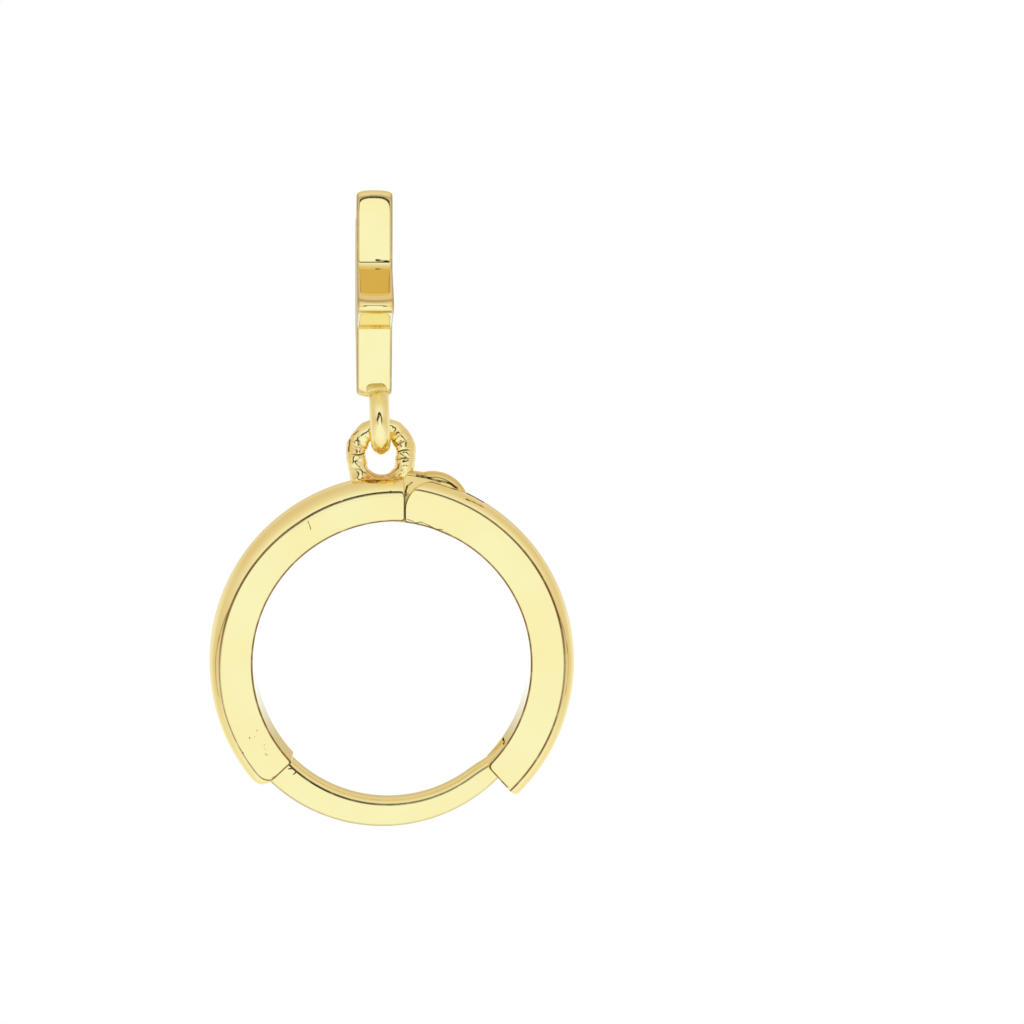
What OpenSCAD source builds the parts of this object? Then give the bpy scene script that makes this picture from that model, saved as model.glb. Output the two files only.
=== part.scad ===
// Hoop charm earring: a hinged huggie hoop with a star charm hanging from a soldered loop.
// Shown as worn: the ear post is at the top, the star hangs at the bottom, and the hoop
// stands in the XZ plane with its gate towards -X. The origin is the middle of the ear post.

/* [Hoop] */
// Inside radius of each half of the hoop
half_r_in = 4.75; // [4:0.05:8]
// Thickness of a half's flat side face, measured outwards from the inside
side_t = 1.07; // [0.9:0.01:1.5]
// Height of the dome above the flat side faces
dome_h = 0.42; // [0.3:0.01:0.5]
// Width of the hoop, from side face to side face
hoop_w = 1.47; // [1.35:0.01:2.2]
// Radius of the rounded shoulders beside the dome
shoulder_r = 0.42; // [0.3:0.01:0.5]
// Radius of the small rounding on the inside edges
edge_r = 0.06; // [0.02:0.01:0.12]
// How far each half's centre is moved across the middle, which makes the hoop a little tall
half_shift = 0.17; // [0:0.01:0.3]
// Place of the seam between the halves, sideways from the middle
seam_x = -0.43; // [-0.6:0.01:-0.35]
// Width of the seam
seam_gap = 0.05; // [0.03:0.01:0.1]
// Angle at which the fixed half ends and the ear post begins
fixed_end_deg = 41.8; // [35:0.1:48]
// Angle at which the inside corner of the gate's free end lies
gate_end_deg = 137.7; // [132:0.1:142]
// How far the gate's end face leans from square, so that the gate can swing out
gate_end_lean = 19; // [0:1:30]

/* [Ear post] */
// How much smaller the ear post's inside radius is than the hoop's
post_inset = 0.27; // [0.15:0.01:0.35]
// Thickness of the ear post halfway along
post_t = 0.92; // [0.8:0.01:1.1]
// How much thicker the post's root is than its middle
post_taper = 0.18; // [0:0.01:0.25]
// Width of the ear post, from front to back
post_w = 0.8; // [0.6:0.01:0.9]
// Radius of the rounded edges of the ear post
post_edge_r = 0.24; // [0.1:0.01:0.28]
// Place of the post curve's centre, sideways from the middle of the hoop
post_x = 0.13; // [0:0.01:0.2]
// Place of the post curve's centre, above the middle of the hoop
post_z = 0.11; // [0:0.01:0.3]
// How far the post's root is let into the fixed half
post_root = 0.5; // [0.3:0.05:0.8]
// How far the post reaches into the gate when it is shut
post_catch = 0.55; // [0.3:0.05:0.8]
// Clearance round the post's tip in the gate
catch_gap = 0.06; // [0.03:0.01:0.1]

/* [Hinge] */
// Place of the hinge pin, sideways from the middle of the hoop
hinge_x = -1.35; // [-1.5:0.01:-1.3]
// Depth of the hinge pin below the inside curve of the gate
hinge_depth = 0.6; // [0.5:0.01:0.75]
// Radius of the round knuckle on the fixed half
knuckle_r = 1.2; // [1.05:0.01:1.25]
// Thickness of the knuckle
knuckle_w = 0.55; // [0.4:0.01:0.6]
// How far the knuckle's neck stands out beyond the dome
neck_out = 0.06; // [0:0.01:0.1]
// How far the knuckle stands out on the inside of the hoop
knuckle_in = 0.06; // [0:0.01:0.1]
// Radius of the hinge pin
pin_r = 0.25; // [0.2:0.01:0.3]
// Running clearance between the pin and the knuckle
pin_run_gap = 0.02; // [0.01:0.005:0.05]
// Gap between the pin and the gate's two cheeks, which grip it
pin_seat_gap = 0.005; // [0.002:0.001:0.01]
// Side clearance between the knuckle and the cheeks
cheek_gap = 0.03; // [0.02:0.01:0.05]
// Clearance past the rim of the knuckle
rim_gap = 0.06; // [0.04:0.01:0.1]
// Angle at which the shallow groove beyond the knuckle ends
groove_end_deg = 239; // [236:0.5:242]
// Depth of the shallow groove beyond the knuckle
groove_depth = 0.25; // [0.1:0.01:0.3]

/* [Loop] */
// Thickness of the loop's wire
loop_wire = 0.66; // [0.5:0.01:0.75]
// Inside width of the loop
loop_in_w = 0.98; // [0.9:0.01:1.3]
// Place of the loop, sideways from the middle of the hoop
loop_x = 0.35; // [0.3:0.01:0.4]
// Length of the loop's straight legs outside the dome
loop_leg = 0.73; // [0.5:0.01:1]
// How far the loop's legs are let into the hoop
leg_root = 0.22; // [0.15:0.01:0.3]

/* [Charm] */
// Outside diameter of the charm's ring
ring_d = 2.4; // [2.3:0.01:3.2]
// Thickness of the ring's wire
ring_wire = 0.56; // [0.45:0.01:0.6]
// Gap between the ring and the loop where the charm hangs
hang_gap = 0.03; // [0.02:0.01:0.05]
// Distance from the star's centre to where the sides of a point would meet
star_point_r = 3.88; // [3.3:0.01:5]
// Distance from the star's centre to its inner corners
star_notch_r = 1.73; // [1.3:0.01:2.2]
// Radius of the rounded points
star_tip_r = 0.15; // [0.08:0.01:0.2]
// Thickness of the star
star_t = 1.15; // [0.7:0.01:1.4]
// How far the star's top point reaches into the ring's wire
star_bite = 0.42; // [0.3:0.01:0.5]
// How far the middle of the star lies to one side of its ring
star_offset = 0.17; // [0:0.01:0.25]

/* [Hidden] */
$fn = 96;

gold = [0.93, 0.80, 0.47];
pin_gold = [0.86, 0.72, 0.40];
eps = 0.02;
far = 20;
points = 5;
step_deg = 180 / points;

// how far the halves are drawn past the seam and past the gate's end, before they are cut
seam_over_deg = 10;
end_over_deg = 25;

// radii of the halves' flat edge and dome
half_r_flat = half_r_in + side_t;
half_r_dome = half_r_flat + dome_h;

// the middle of the ear post lies on the origin
post_r_in = half_r_in - post_inset;
post_r_out = post_r_in + post_t;
post_mid = post_z + post_r_in + post_t / 2;

// hinge pin's place, seen from the middle of the hoop
hinge_z = -sqrt(pow(half_r_in + hinge_depth, 2) - pow(hinge_x - half_shift, 2));
hinge_deg = 360 + atan2(hinge_z, hinge_x);
slot_w = knuckle_w + 2 * cheek_gap;
slot_r = knuckle_r + rim_gap;
heel_r = seam_x - seam_gap / 2 - hinge_x;
neck_r = half_r_dome + neck_out;

// loop: the curve's centre and radius, measured to the middle of the wire
loop_r = (loop_in_w + loop_wire) / 2;
loop_z = -(half_r_dome + loop_leg);
hang_z = loop_z - loop_r;

// charm: the ring hangs on the loop's wire, the star's point is let into the ring
ring_r = (ring_d - ring_wire) / 2;
ring_z = hang_z - (ring_r - ring_wire / 2 - loop_wire / 2 - hang_gap);
tip_half_deg = atan(star_notch_r * sin(step_deg) / (star_point_r - star_notch_r * cos(step_deg)));
tip_centre_r = star_point_r - star_tip_r / sin(tip_half_deg);
star_z = ring_z - (ring_d / 2 - star_bite) - (tip_centre_r + star_tip_r);

// upright carries a shape drawn flat, its axis along Z, into the plane of the hoop
module upright() {
    translate([0, 0, -post_mid]) rotate([90, 0, 0]) children();
}

// section of a half: flat sides, rounded shoulders, small rounding on the inside edges
module half_section() {
    half_w = hoop_w / 2;
    shoulder_y = half_w - shoulder_r;
    shoulder_x = half_r_dome - shoulder_r;
    translate([half_r_in, -half_w + edge_r]) square([shoulder_x - half_r_in, hoop_w - 2 * edge_r]);
    translate([half_r_in + edge_r, -half_w]) square([shoulder_x - half_r_in - edge_r, hoop_w]);
    translate([shoulder_x - eps, -shoulder_y]) square([shoulder_r + eps, 2 * shoulder_y]);
    for (side = [-1, 1]) {
        translate([shoulder_x, side * shoulder_y]) circle(r = shoulder_r);
        translate([half_r_in + edge_r, side * (half_w - edge_r)]) circle(r = edge_r);
    }
}

module half_arc(start_deg, end_deg) {
    rotate([0, 0, start_deg]) rotate_extrude(angle = end_deg - start_deg) half_section();
}

// flat disc about the Z axis, its width split evenly
module disc(r, w) {
    cylinder(r = r, h = w, center = true);
}

// everything below the middle and on one side of the seam
module beyond_seam(side) {
    edge = seam_x + side * seam_gap / 2;
    translate([side > 0 ? edge - far : edge, -far, -far / 2]) cube([far, far, far]);
}

// the post is the part between an inside curve and an outside curve whose centres differ
module post_inside(r) {
    difference() {
        disc(2 * r, post_w);
        disc(r + post_edge_r, post_w + eps);
    }
    difference() {
        disc(2 * r, post_w - 2 * post_edge_r);
        disc(r, post_w);
    }
    for (side = [-1, 1]) {
        translate([0, 0, side * (post_w / 2 - post_edge_r)])
            rotate_extrude() translate([r + post_edge_r, 0]) circle(r = post_edge_r);
    }
}

module post_outside(r) {
    disc(r - post_edge_r, post_w);
    disc(r, post_w - 2 * post_edge_r);
    for (side = [-1, 1]) {
        translate([0, 0, side * (post_w / 2 - post_edge_r)])
            rotate_extrude() translate([r - post_edge_r, 0]) circle(r = post_edge_r);
    }
}

// a wedge of the plane between two angles, thick enough to cut with
module wedge(start_deg, end_deg, w) {
    middle_deg = (start_deg + end_deg) / 2;
    linear_extrude(w, center = true)
        polygon([[0, 0], for (a = [start_deg, middle_deg, end_deg]) far * [cos(a), sin(a)]]);
}

module ear_post() {
    root_deg = post_root / post_r_in * 180 / PI;
    catch_deg = post_catch / post_r_in * 180 / PI;
    intersection() {
        translate([post_x, post_z, 0]) post_inside(post_r_in);
        translate([post_x + post_taper, post_z, 0]) post_outside(post_r_out);
        wedge(fixed_end_deg - root_deg, gate_end_deg + catch_deg, 2 * post_w);
    }
}

// the knuckle is a round tongue with a neck that joins it to the seam end of the fixed half
module knuckle() {
    neck_w = seam_x + seam_gap / 2 + eps - hinge_x;
    difference() {
        union() {
            translate([hinge_x, hinge_z, 0]) disc(knuckle_r, knuckle_w);
            intersection() {
                disc(neck_r, knuckle_w);
                translate([hinge_x, -far, -far / 2]) cube([neck_w, far, far]);
            }
        }
        translate([half_shift, 0, 0]) disc(half_r_in - knuckle_in, 2 * knuckle_w);
        translate([hinge_x, hinge_z, 0]) disc(pin_r + pin_run_gap, 2 * knuckle_w);
    }
}

// wire loop on the dome: half a ring and two straight legs
module hanging_loop() {
    leg_h = loop_leg + leg_root;
    translate([loop_x, loop_z, 0]) {
        rotate([0, 0, 180]) rotate_extrude(angle = 180)
            translate([loop_r, 0]) circle(d = loop_wire);
        for (side = [-1, 1]) {
            translate([side * loop_r, 0, 0]) rotate([-90, 0, 0]) cylinder(d = loop_wire, h = leg_h);
        }
    }
}

// fixed half, ear post, knuckle and loop are soldered together into one piece
module fixed_half() {
    color(gold) upright() {
        difference() {
            translate([-half_shift, 0, 0]) half_arc(-90 - seam_over_deg, fixed_end_deg);
            beyond_seam(1);
        }
        ear_post();
        knuckle();
        hanging_loop();
    }
}

// the catch is the recess in the gate's end that takes the post's tip, open to the inside
module catch_recess() {
    recess_deg = gate_end_deg + (post_catch + catch_gap) / post_r_in * 180 / PI;
    intersection() {
        translate([post_x + post_taper, post_z, 0]) disc(post_r_out + catch_gap, post_w + 2 * catch_gap);
        wedge(90, recess_deg, 2 * hoop_w);
    }
}

// what is cut from the gate so that its heel turns past the fixed half
module heel_relief() {
    translate([hinge_x, hinge_z, 0]) difference() {
        translate([0, -far, -far / 2]) cube([far, far, far]);
        disc(heel_r, far + eps);
    }
}

// slot for the knuckle, with the shallow groove that runs on beyond it
module knuckle_slot() {
    translate([hinge_x, hinge_z, 0]) disc(slot_r, slot_w);
    translate([hinge_x, -far, -slot_w / 2]) cube([far, far, slot_w]);
    intersection() {
        translate([half_shift, 0, 0]) difference() {
            disc(2 * half_r_dome, slot_w);
            disc(half_r_dome - groove_depth, far);
        }
        wedge(groove_end_deg, hinge_deg, far);
    }
}

// block beyond the gate's leaning end face
module gate_end_cut() {
    corner_x = half_shift + half_r_in * cos(gate_end_deg);
    corner_z = half_r_in * sin(gate_end_deg);
    translate([corner_x, corner_z, 0]) rotate([0, 0, gate_end_deg - gate_end_lean - 90])
        translate([0, -half_r_in, -far / 2]) cube([far, far, far]);
}

module gate_half() {
    color(gold) upright() difference() {
        translate([half_shift, 0, 0]) half_arc(gate_end_deg - end_over_deg, 270 + seam_over_deg);
        beyond_seam(-1);
        gate_end_cut();
        catch_recess();
        heel_relief();
        knuckle_slot();
        translate([hinge_x, hinge_z, 0]) disc(pin_r + pin_seat_gap, 2 * hoop_w);
    }
}

// pin, polished flush with the gate's side faces
module hinge_pin() {
    color(pin_gold) upright() translate([hinge_x, hinge_z, 0]) disc(pin_r, hoop_w);
}

// flat star with its first point towards +Y of the drawing
module star_outline() {
    difference() {
        polygon([for (i = [0 : 2 * points - 1])
            let (r = i % 2 == 0 ? star_point_r : star_notch_r, a = 90 + i * step_deg)
            r * [cos(a), sin(a)]]);
        for (i = [0 : points - 1]) {
            rotate([0, 0, 2 * i * step_deg])
                translate([-star_tip_r * 2, tip_centre_r + star_tip_r * sin(tip_half_deg)])
                square([star_tip_r * 4, star_point_r]);
        }
    }
    for (i = [0 : points - 1]) {
        rotate([0, 0, 2 * i * step_deg]) translate([0, tip_centre_r]) circle(r = star_tip_r);
    }
}

// star and ring are soldered together; both lie in the YZ plane
module star_charm() {
    color(gold) translate([loop_x, 0, -post_mid]) rotate([90, 0, 90]) {
        translate([0, star_z, star_offset]) linear_extrude(star_t, center = true) star_outline();
        translate([0, ring_z, 0]) rotate_extrude() translate([ring_r, 0]) circle(d = ring_wire);
    }
}

fixed_half();
gate_half();
hinge_pin();
star_charm();
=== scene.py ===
"""Hoop charm earring in polished yellow gold: a hinged hoop with a star hanging from a wire loop.

The pieces are drawn as worn: ear post at the top, star at the bottom, the hoop standing in the XZ
plane with its gate towards -X. The main sizes are those of the solids, and the small roundings, the
star's turn and the lumps of solder are the scene's own.
"""

import math

import bmesh
import bpy
import numpy as np
from mathutils import Matrix, Vector


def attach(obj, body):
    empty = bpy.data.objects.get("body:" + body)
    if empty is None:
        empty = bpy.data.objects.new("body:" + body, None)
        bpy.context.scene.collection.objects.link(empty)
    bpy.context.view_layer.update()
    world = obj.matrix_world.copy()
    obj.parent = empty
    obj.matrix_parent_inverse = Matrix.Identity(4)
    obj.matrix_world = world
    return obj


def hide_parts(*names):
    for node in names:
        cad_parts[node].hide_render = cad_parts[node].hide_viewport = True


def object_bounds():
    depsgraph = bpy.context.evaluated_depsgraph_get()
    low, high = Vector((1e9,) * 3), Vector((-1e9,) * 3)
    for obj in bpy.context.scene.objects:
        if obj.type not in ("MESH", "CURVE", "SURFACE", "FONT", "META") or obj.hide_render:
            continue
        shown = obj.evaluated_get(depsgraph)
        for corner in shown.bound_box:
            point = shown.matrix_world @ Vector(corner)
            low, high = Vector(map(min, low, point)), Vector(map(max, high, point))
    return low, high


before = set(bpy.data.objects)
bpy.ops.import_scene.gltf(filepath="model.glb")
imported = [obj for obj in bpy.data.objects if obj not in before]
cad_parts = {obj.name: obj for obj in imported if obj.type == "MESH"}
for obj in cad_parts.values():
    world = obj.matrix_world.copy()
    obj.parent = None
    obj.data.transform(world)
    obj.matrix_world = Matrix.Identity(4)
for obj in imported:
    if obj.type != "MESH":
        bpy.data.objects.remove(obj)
CAD_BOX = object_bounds()

bl_info = {
    "name": "Hoop Charm Earring",
    "version": (1, 0, 0),
    "blender": (4, 5, 0),
    "location": "View3D > Sidebar > Earring",
    "description": "Builds a hinged gold hoop earring with a star charm round its fixed frame",
    "category": "Add Mesh",
}

MM = 0.001
TURN = 2 * math.pi
# Angle between a point of the star and the next inner corner
STAR_STEP = math.pi / 5
# In metres: a length beyond every piece, half the step between two layers at a cut, and how close
# together two points are that are one
FAR = 1.0
HAIR = 1e-9
SAME = 1e-8
# Smallest divisor where a direction's part comes near nought
TINY = 1e-6


def length(value_mm, name, description):
    """A size in millimetres, kept in metres as a Blender length."""
    return bpy.props.FloatProperty(
        name=name, description=description, default=value_mm * MM, min=0.0, precision=6, unit="LENGTH"
    )


def place(value_mm, name, description):
    """A signed place in millimetres, kept in metres as a Blender length."""
    return bpy.props.FloatProperty(
        name=name, description=description, default=value_mm * MM, precision=6, unit="LENGTH"
    )


def angle(value_deg, name, description):
    """An angle in degrees, kept in radians as Blender does."""
    return bpy.props.FloatProperty(
        name=name, description=description, default=math.radians(value_deg), subtype="ANGLE"
    )


def colour(rgb, name, description):
    """A colour as a user picks it."""
    return bpy.props.FloatVectorProperty(
        name=name, description=description, default=rgb, size=3, min=0.0, max=1.0, subtype="COLOR"
    )


def share(value, name, description):
    """A number between 0 and 1."""
    return bpy.props.FloatProperty(
        name=name, description=description, default=value, min=0.0, max=1.0, subtype="FACTOR"
    )


class EarringHoop(bpy.types.PropertyGroup):
    """Sizes of the two halves of the hoop."""

    r_in: length(4.75, "Inside radius", "Inside radius of each half")
    side_t: length(1.07, "Side face", "Width of the flat side face, measured along the radius")
    dome_h: length(0.42, "Dome height", "Height of the dome above the edge of the side faces")
    width: length(1.47, "Band width", "Width of the band from side face to side face")
    shoulder_r: length(0.4, "Shoulder radius", "Rounding between a side face and the dome")
    fixed_shoulder_r: length(0.64, "Fixed shoulder radius", "Rounder shoulder of the fixed half")
    end_shoulder_r: length(0.38, "End shoulder radius", "Sharper shoulder at the fixed half's end")
    edge_r: length(0.07, "Inner edge radius", "Rounding of the inside edges and of the end faces")
    corner_r: length(0.09, "Seam corner radius", "Rounding of a half's corners at the seam")
    end_r: length(0.5, "End corner radius", "Rounding of the fixed half's outer corner at the ear post")
    end_in_r: length(0.08, "Inner end corner radius", "Rounding of its inner corner at the ear post")
    free_r: length(0.17, "Free corner radius", "Rounding of the gate's corners at its free end")
    shift: length(0.17, "Half shift", "How far each half's centre is moved across the middle")
    seam_x: place(-0.43, "Seam place", "Place of the seam, sideways from the middle")
    seam_edge: share(0.35, "Seam edge", "Share of the edge rounding at the seam")
    seam_gap: length(0.03, "Seam gap", "Width of the seam between the halves")
    fixed_end: angle(43.3, "Fixed end", "Angle at which the fixed half ends at the ear post")
    gate_end: angle(134.4, "Gate end", "Angle of the inside corner of the gate's free end")
    gate_lean: angle(2, "Gate end lean", "Lean of the gate's end face from square")


class EarringPost(bpy.types.PropertyGroup):
    """Sizes of the ear post."""

    inset: length(0.27, "Inset", "How much smaller the post's inside radius is than the hoop's")
    thick: length(0.92, "Thickness", "Thickness of the post halfway along")
    taper: length(0.18, "Taper", "How much thicker the root is than the middle")
    width: length(0.8, "Width", "Width of the post from front to back")
    edge_in: length(0.22, "Inner edge radius", "Rounding of the post's edges towards the ear")
    edge_out: length(0.1, "Outer edge radius", "Rounding of the post's outer edges")
    tip_r: length(0.03, "Tip radius", "Rounding of the post's tip")
    tip_in: length(0.2, "Tip step", "How far the tip's inside steps back into the gate")
    x: place(0.13, "Centre, sideways", "Place of the centre of the post's curve")
    z: place(0.11, "Centre, upwards", "Place of the centre of the post's curve")
    root: length(0.5, "Root", "How far the post is let into the fixed half")
    catch: length(0.85, "Catch", "How far the post's tip reaches into the gate")
    catch_gap: length(0.06, "Catch gap", "Clearance round the tip in the gate")


class EarringHinge(bpy.types.PropertyGroup):
    """Sizes of the hinge."""

    x: place(-1.35, "Pin place", "Place of the pin, sideways from the middle")
    depth: length(0.6, "Pin depth", "Depth of the pin below the inside of the gate")
    knuckle_r: length(1.23, "Knuckle radius", "Radius of the round knuckle")
    knuckle_w: length(0.55, "Knuckle thickness", "Thickness of the knuckle")
    knuckle_edge: length(0.22, "Knuckle edge", "Rounding of the knuckle's edges")
    neck_out: length(0.17, "Neck height", "How far the neck stands out beyond the dome")
    knuckle_in: length(0.06, "Inside height", "How far the knuckle stands out on the inside")
    pin_r: length(0.25, "Pin radius", "Radius of the hinge pin")
    cheek_gap: length(0.03, "Cheek gap", "Side clearance between the knuckle and the gate")
    rim_gap: length(0.06, "Rim gap", "Clearance past the knuckle's rim")
    groove_end: angle(239, "Groove end", "Angle at which the shallow groove ends")
    groove_depth: length(0.15, "Groove depth", "Depth of the shallow groove")


class EarringLoop(bpy.types.PropertyGroup):
    """Sizes of the wire loop."""

    wire: length(0.66, "Wire", "Thickness of the loop's wire")
    inside: length(0.98, "Inside width", "Width between the loop's legs")
    x: place(0.35, "Place", "Place of the loop, sideways from the middle")
    leg: length(0.73, "Leg", "Length of the legs outside the dome")
    root: length(0.22, "Root", "How far the legs are let into the band")
    draw: length(0.13, "Draw", "How far each leg leans inwards at its foot")
    foot: length(0.0, "Foot", "Height of the solder between the legs")
    foot_wire: length(0.14, "Foot thickness", "Half the thickness of that solder")
    foot_depth: length(0.5, "Foot curve", "Depth of the round bottom of the loop's hole")


class EarringCharm(bpy.types.PropertyGroup):
    """Sizes of the star and its ring."""

    ring_d: length(2.4, "Ring diameter", "Outside diameter of the ring")
    ring_wire: length(0.56, "Ring wire", "Thickness of the ring's wire")
    ring_flat: length(0.64, "Ring width", "Thickness of the ring's wire from side to side")
    hang_gap: length(0.03, "Hang gap", "Gap between the ring and the loop")
    point_r: length(3.95, "Point radius", "Distance from the centre to where a point's sides meet")
    notch_r: length(1.7, "Notch radius", "Distance from the centre to an inner corner")
    tip_r: length(0.24, "Tip radius", "Radius of the rounded points")
    thick: length(1.15, "Thickness", "Thickness of the star")
    bite: length(0.5, "Bite", "How far the top point reaches into the ring's wire")
    offset: length(0.24, "Offset", "How far the star lies to one side of its ring")
    edge_r: length(0.1, "Edge radius", "Rounding of the star's edges")
    notch_soft: length(0.2, "Notch rounding", "Rounding of the inner corners")
    turn: angle(1.6, "Turn", "How far the star is soldered askew to its ring")
    swell: length(0.03, "Swell", "How far the star's faces swell in their middle")
    tilt: angle(8, "Tilt", "How far the star is turned in its own plane")
    set_back: length(0.19, "Set back", "How far the star's middle lies behind its ring")
    droop: length(0.1, "Droop", "How far the points fall off towards the faces")
    lean: angle(2.4, "Lean", "How far the ring leans to one side")
    # Share of a painted reflection: an orange tint on the wall between the front point and the notch below
    # it, for the warm light that the next wall throws onto it
    reflection_tint: share(0.95, "Reflection tint", "Orange tint of the wall between the front point and the notch below it")


class EarringGold(bpy.types.PropertyGroup):
    """Colours and polish of the gold."""

    pale: colour((0.94, 0.8, 0.36), "Pale gold", "Colour of the gold at its lightest")
    deep: colour((0.936, 0.768, 0.325), "Deep gold", "Colour of the gold at its deepest")
    wire: colour((0.91, 0.71, 0.28), "Wire", "Colour of the hand-worked wire at its deepest")
    # The knuckle's two warm tones are a darker, warmer copy of the gold: painted shade and warm reflection
    # where it sits between the cheeks. The deep one also paints the star's warm reflection tint, and the
    # light one is the ring solder's second tone
    warm: colour((0.87, 0.65, 0.24), "Warm gold", "Colour of the hinge's knuckle at its lightest")
    warm_deep: colour((0.78, 0.54, 0.17), "Deep warm gold", "Colour of the hinge's knuckle at its deepest")
    solder: colour((0.88, 0.62, 0.26), "Solder", "Colour of the solder")
    solder_deep: colour((0.76, 0.48, 0.17), "Deep solder", "Colour of the solder at its deepest")
    # Colour of the painted shade: dark lines along edges, seams and the dome's shoulders that stand for
    # reflections of the dark studio card, and shade in gaps and cracks
    painted_shade: colour((0.26, 0.13, 0.035), "Painted shade", "Colour along the edges")
    # Colour of the small dark marks, most of them painted shade in gaps, grooves and joints; it also
    # paints shade along the post's edges and in the loop's cracks, and darkens the loop's pits
    marks_and_shade: colour((0.05, 0.028, 0.01), "Marks and shade", "Colour of the small dark marks")
    polish: share(0.07, "Roughness", "Roughness of the polished faces")


class EarringStudio(bpy.types.PropertyGroup):
    """Camera, light and floor."""

    distance: length(62.71, "Distance", "Distance from the camera to the middle of the hoop")
    tilt: angle(5, "Tilt", "How far the camera looks upwards")
    drop: length(10.56, "Drop", "How far the camera stands below the middle of the hoop")
    lens: bpy.props.FloatProperty(
        name="Lens", description="Focal length in millimetres", default=65.92, min=1, unit="CAMERA"
    )
    shift_x: bpy.props.FloatProperty(
        name="Shift X", description="Sideways shift, as a share of the frame", default=0.1175
    )
    shift_y: bpy.props.FloatProperty(
        name="Shift Y", description="Upwards shift, as a share of the frame", default=-0.0044
    )
    floor_drop: length(22, "Floor depth", "How far the floor lies below the star")
    floor_r: length(62, "Floor radius", "Radius at which the floor has faded away")
    floor_tone: colour((0.82, 0.74, 0.62), "Floor", "Colour of the floor")


GROUPS = {
    "earring_hoop": EarringHoop,
    "earring_post": EarringPost,
    "earring_hinge": EarringHinge,
    "earring_loop": EarringLoop,
    "earring_charm": EarringCharm,
    "earring_gold": EarringGold,
    "earring_studio": EarringStudio,
}


class Sizes:
    """The property groups of the scene, with the radii and places that follow from them, about the
    hoop's middle."""

    def __init__(self, scene):
        self.hoop = scene.earring_hoop
        self.post = scene.earring_post
        self.hinge = scene.earring_hinge
        self.loop = scene.earring_loop
        self.charm = scene.earring_charm
        self.gold = scene.earring_gold
        self.studio = scene.earring_studio
        hoop, post, hinge = self.hoop, self.post, self.hinge
        self.r_flat = hoop.r_in + hoop.side_t
        self.r_dome = self.r_flat + hoop.dome_h
        self.post_r = hoop.r_in - post.inset
        self.middle_z = -(post.z + self.post_r + post.thick / 2)
        reach = hoop.r_in + hinge.depth
        self.pin = np.array([hinge.x, -math.sqrt(reach**2 - (hinge.x - hoop.shift) ** 2)])
        self.loop_r = (self.loop.inside + self.loop.wire) / 2
        self.loop_z = -(self.r_dome + self.loop.leg)
        charm = self.charm
        self.ring_r = (charm.ring_d - charm.ring_wire) / 2
        inner_gap = self.ring_r - charm.ring_wire / 2 - self.loop.wire / 2 - charm.hang_gap
        self.ring_z = self.loop_z - self.loop_r - inner_gap
        self.tip_half = math.atan2(
            charm.notch_r * math.sin(STAR_STEP), charm.point_r - charm.notch_r * math.cos(STAR_STEP)
        )
        self.star_tip = charm.point_r - charm.tip_r / math.sin(self.tip_half) + charm.tip_r
        self.star_z = self.ring_z - (charm.ring_d / 2 - charm.bite) - self.star_tip


def grid_faces(rows, cols, first=0, round_rows=False, round_cols=True):
    """Quads between neighbouring points of a grid, joined round where asked."""
    r = np.arange(rows if round_rows else rows - 1)
    c = np.arange(cols if round_cols else cols - 1)
    row, col = np.meshgrid(r, c, indexing="ij")
    next_row, next_col = (row + 1) % rows, (col + 1) % cols
    corners = (row * cols + col, row * cols + next_col, next_row * cols + next_col, next_row * cols + col)
    return np.stack(corners, axis=-1).reshape(-1, 4) + first


def fan(points, pole, first=0):
    """Triangles that join a closed row of points, begun at first, to a pole."""
    i = np.arange(points)
    return np.stack([first + i, first + (i + 1) % points, np.full(points, pole)], -1)


def paired_cap(loop, steps=(0.015, 0.06, 0.5, 0.94, 0.985)):
    """Flat cap of a loop whose point i lies across from point -1-i: rows of points run straight
    across, at the shares in steps."""
    half = len(loop) // 2
    near, across = loop[:half], loop[::-1][:half]
    v = np.array([0.0, *steps, 1.0])[:, None, None]
    return (near * (1 - v) + across * v).reshape(-1, 3), len(v), half


def stack(layers, dark=None):
    """Closed shell of a stack of loops (layer, point, xyz) whose first and last loops are capped. The caps
    take up the loops' share of painted shade at their rim only."""
    count, points = layers.shape[:2]
    dark = np.zeros((count, points)) if dark is None else dark
    parts = [layers.reshape(-1, 3)]
    shades = [dark.reshape(-1)]
    faces = [grid_faces(count, points)]
    first = count * points
    for loop, shade in ((layers[0], dark[0]), (layers[-1], dark[-1])):
        cap, rows, cols = paired_cap(loop)
        rim = np.zeros((rows, cols))
        rim[0], rim[-1] = shade[:cols], shade[::-1][:cols]
        parts.append(cap)
        shades.append(rim.reshape(-1))
        faces.append(grid_faces(rows, cols, first, round_cols=False))
        first += len(cap)
    return np.concatenate(parts), np.concatenate(faces), np.concatenate(shades)


def domed_stack(layers, dark, swell, rim=(1, 0.99, 0.96, 0.9), rings=12):
    """Closed shell of a stack of loops round the X axis whose end faces swell a little: a face's point
    at share k of the way from its centre to its edge is raised by swell times (1 - k squared). The
    rows next to the edge stand at the shares in rim."""
    count, points = layers.shape[:2]
    k = np.array([*rim[:-1], *np.linspace(rim[-1], 1 / rings, rings)])[:, None, None]
    shades = np.zeros(count * points + 2 * (len(k) * points + 1))
    shades[: count * points] = dark.reshape(-1)
    parts = [layers.reshape(-1, 3)]
    faces = [grid_faces(count, points)]
    first = count * points
    for loop, side in ((layers[0], -1), (layers[-1], 1)):
        middle = np.array([loop[0, 0], 0.0, 0.0])
        rise = np.array([side * swell, 0.0, 0.0])
        face = middle + (loop - middle) * k + rise * (1 - k**2)
        parts += [face.reshape(-1, 3), (middle + rise)[None]]
        faces.append(grid_faces(len(k), points, first))
        pole = first + len(k) * points
        faces.append(fan(points, pole, pole - points))
        first = pole + 1
    return np.concatenate(parts), faces, shades


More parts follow.
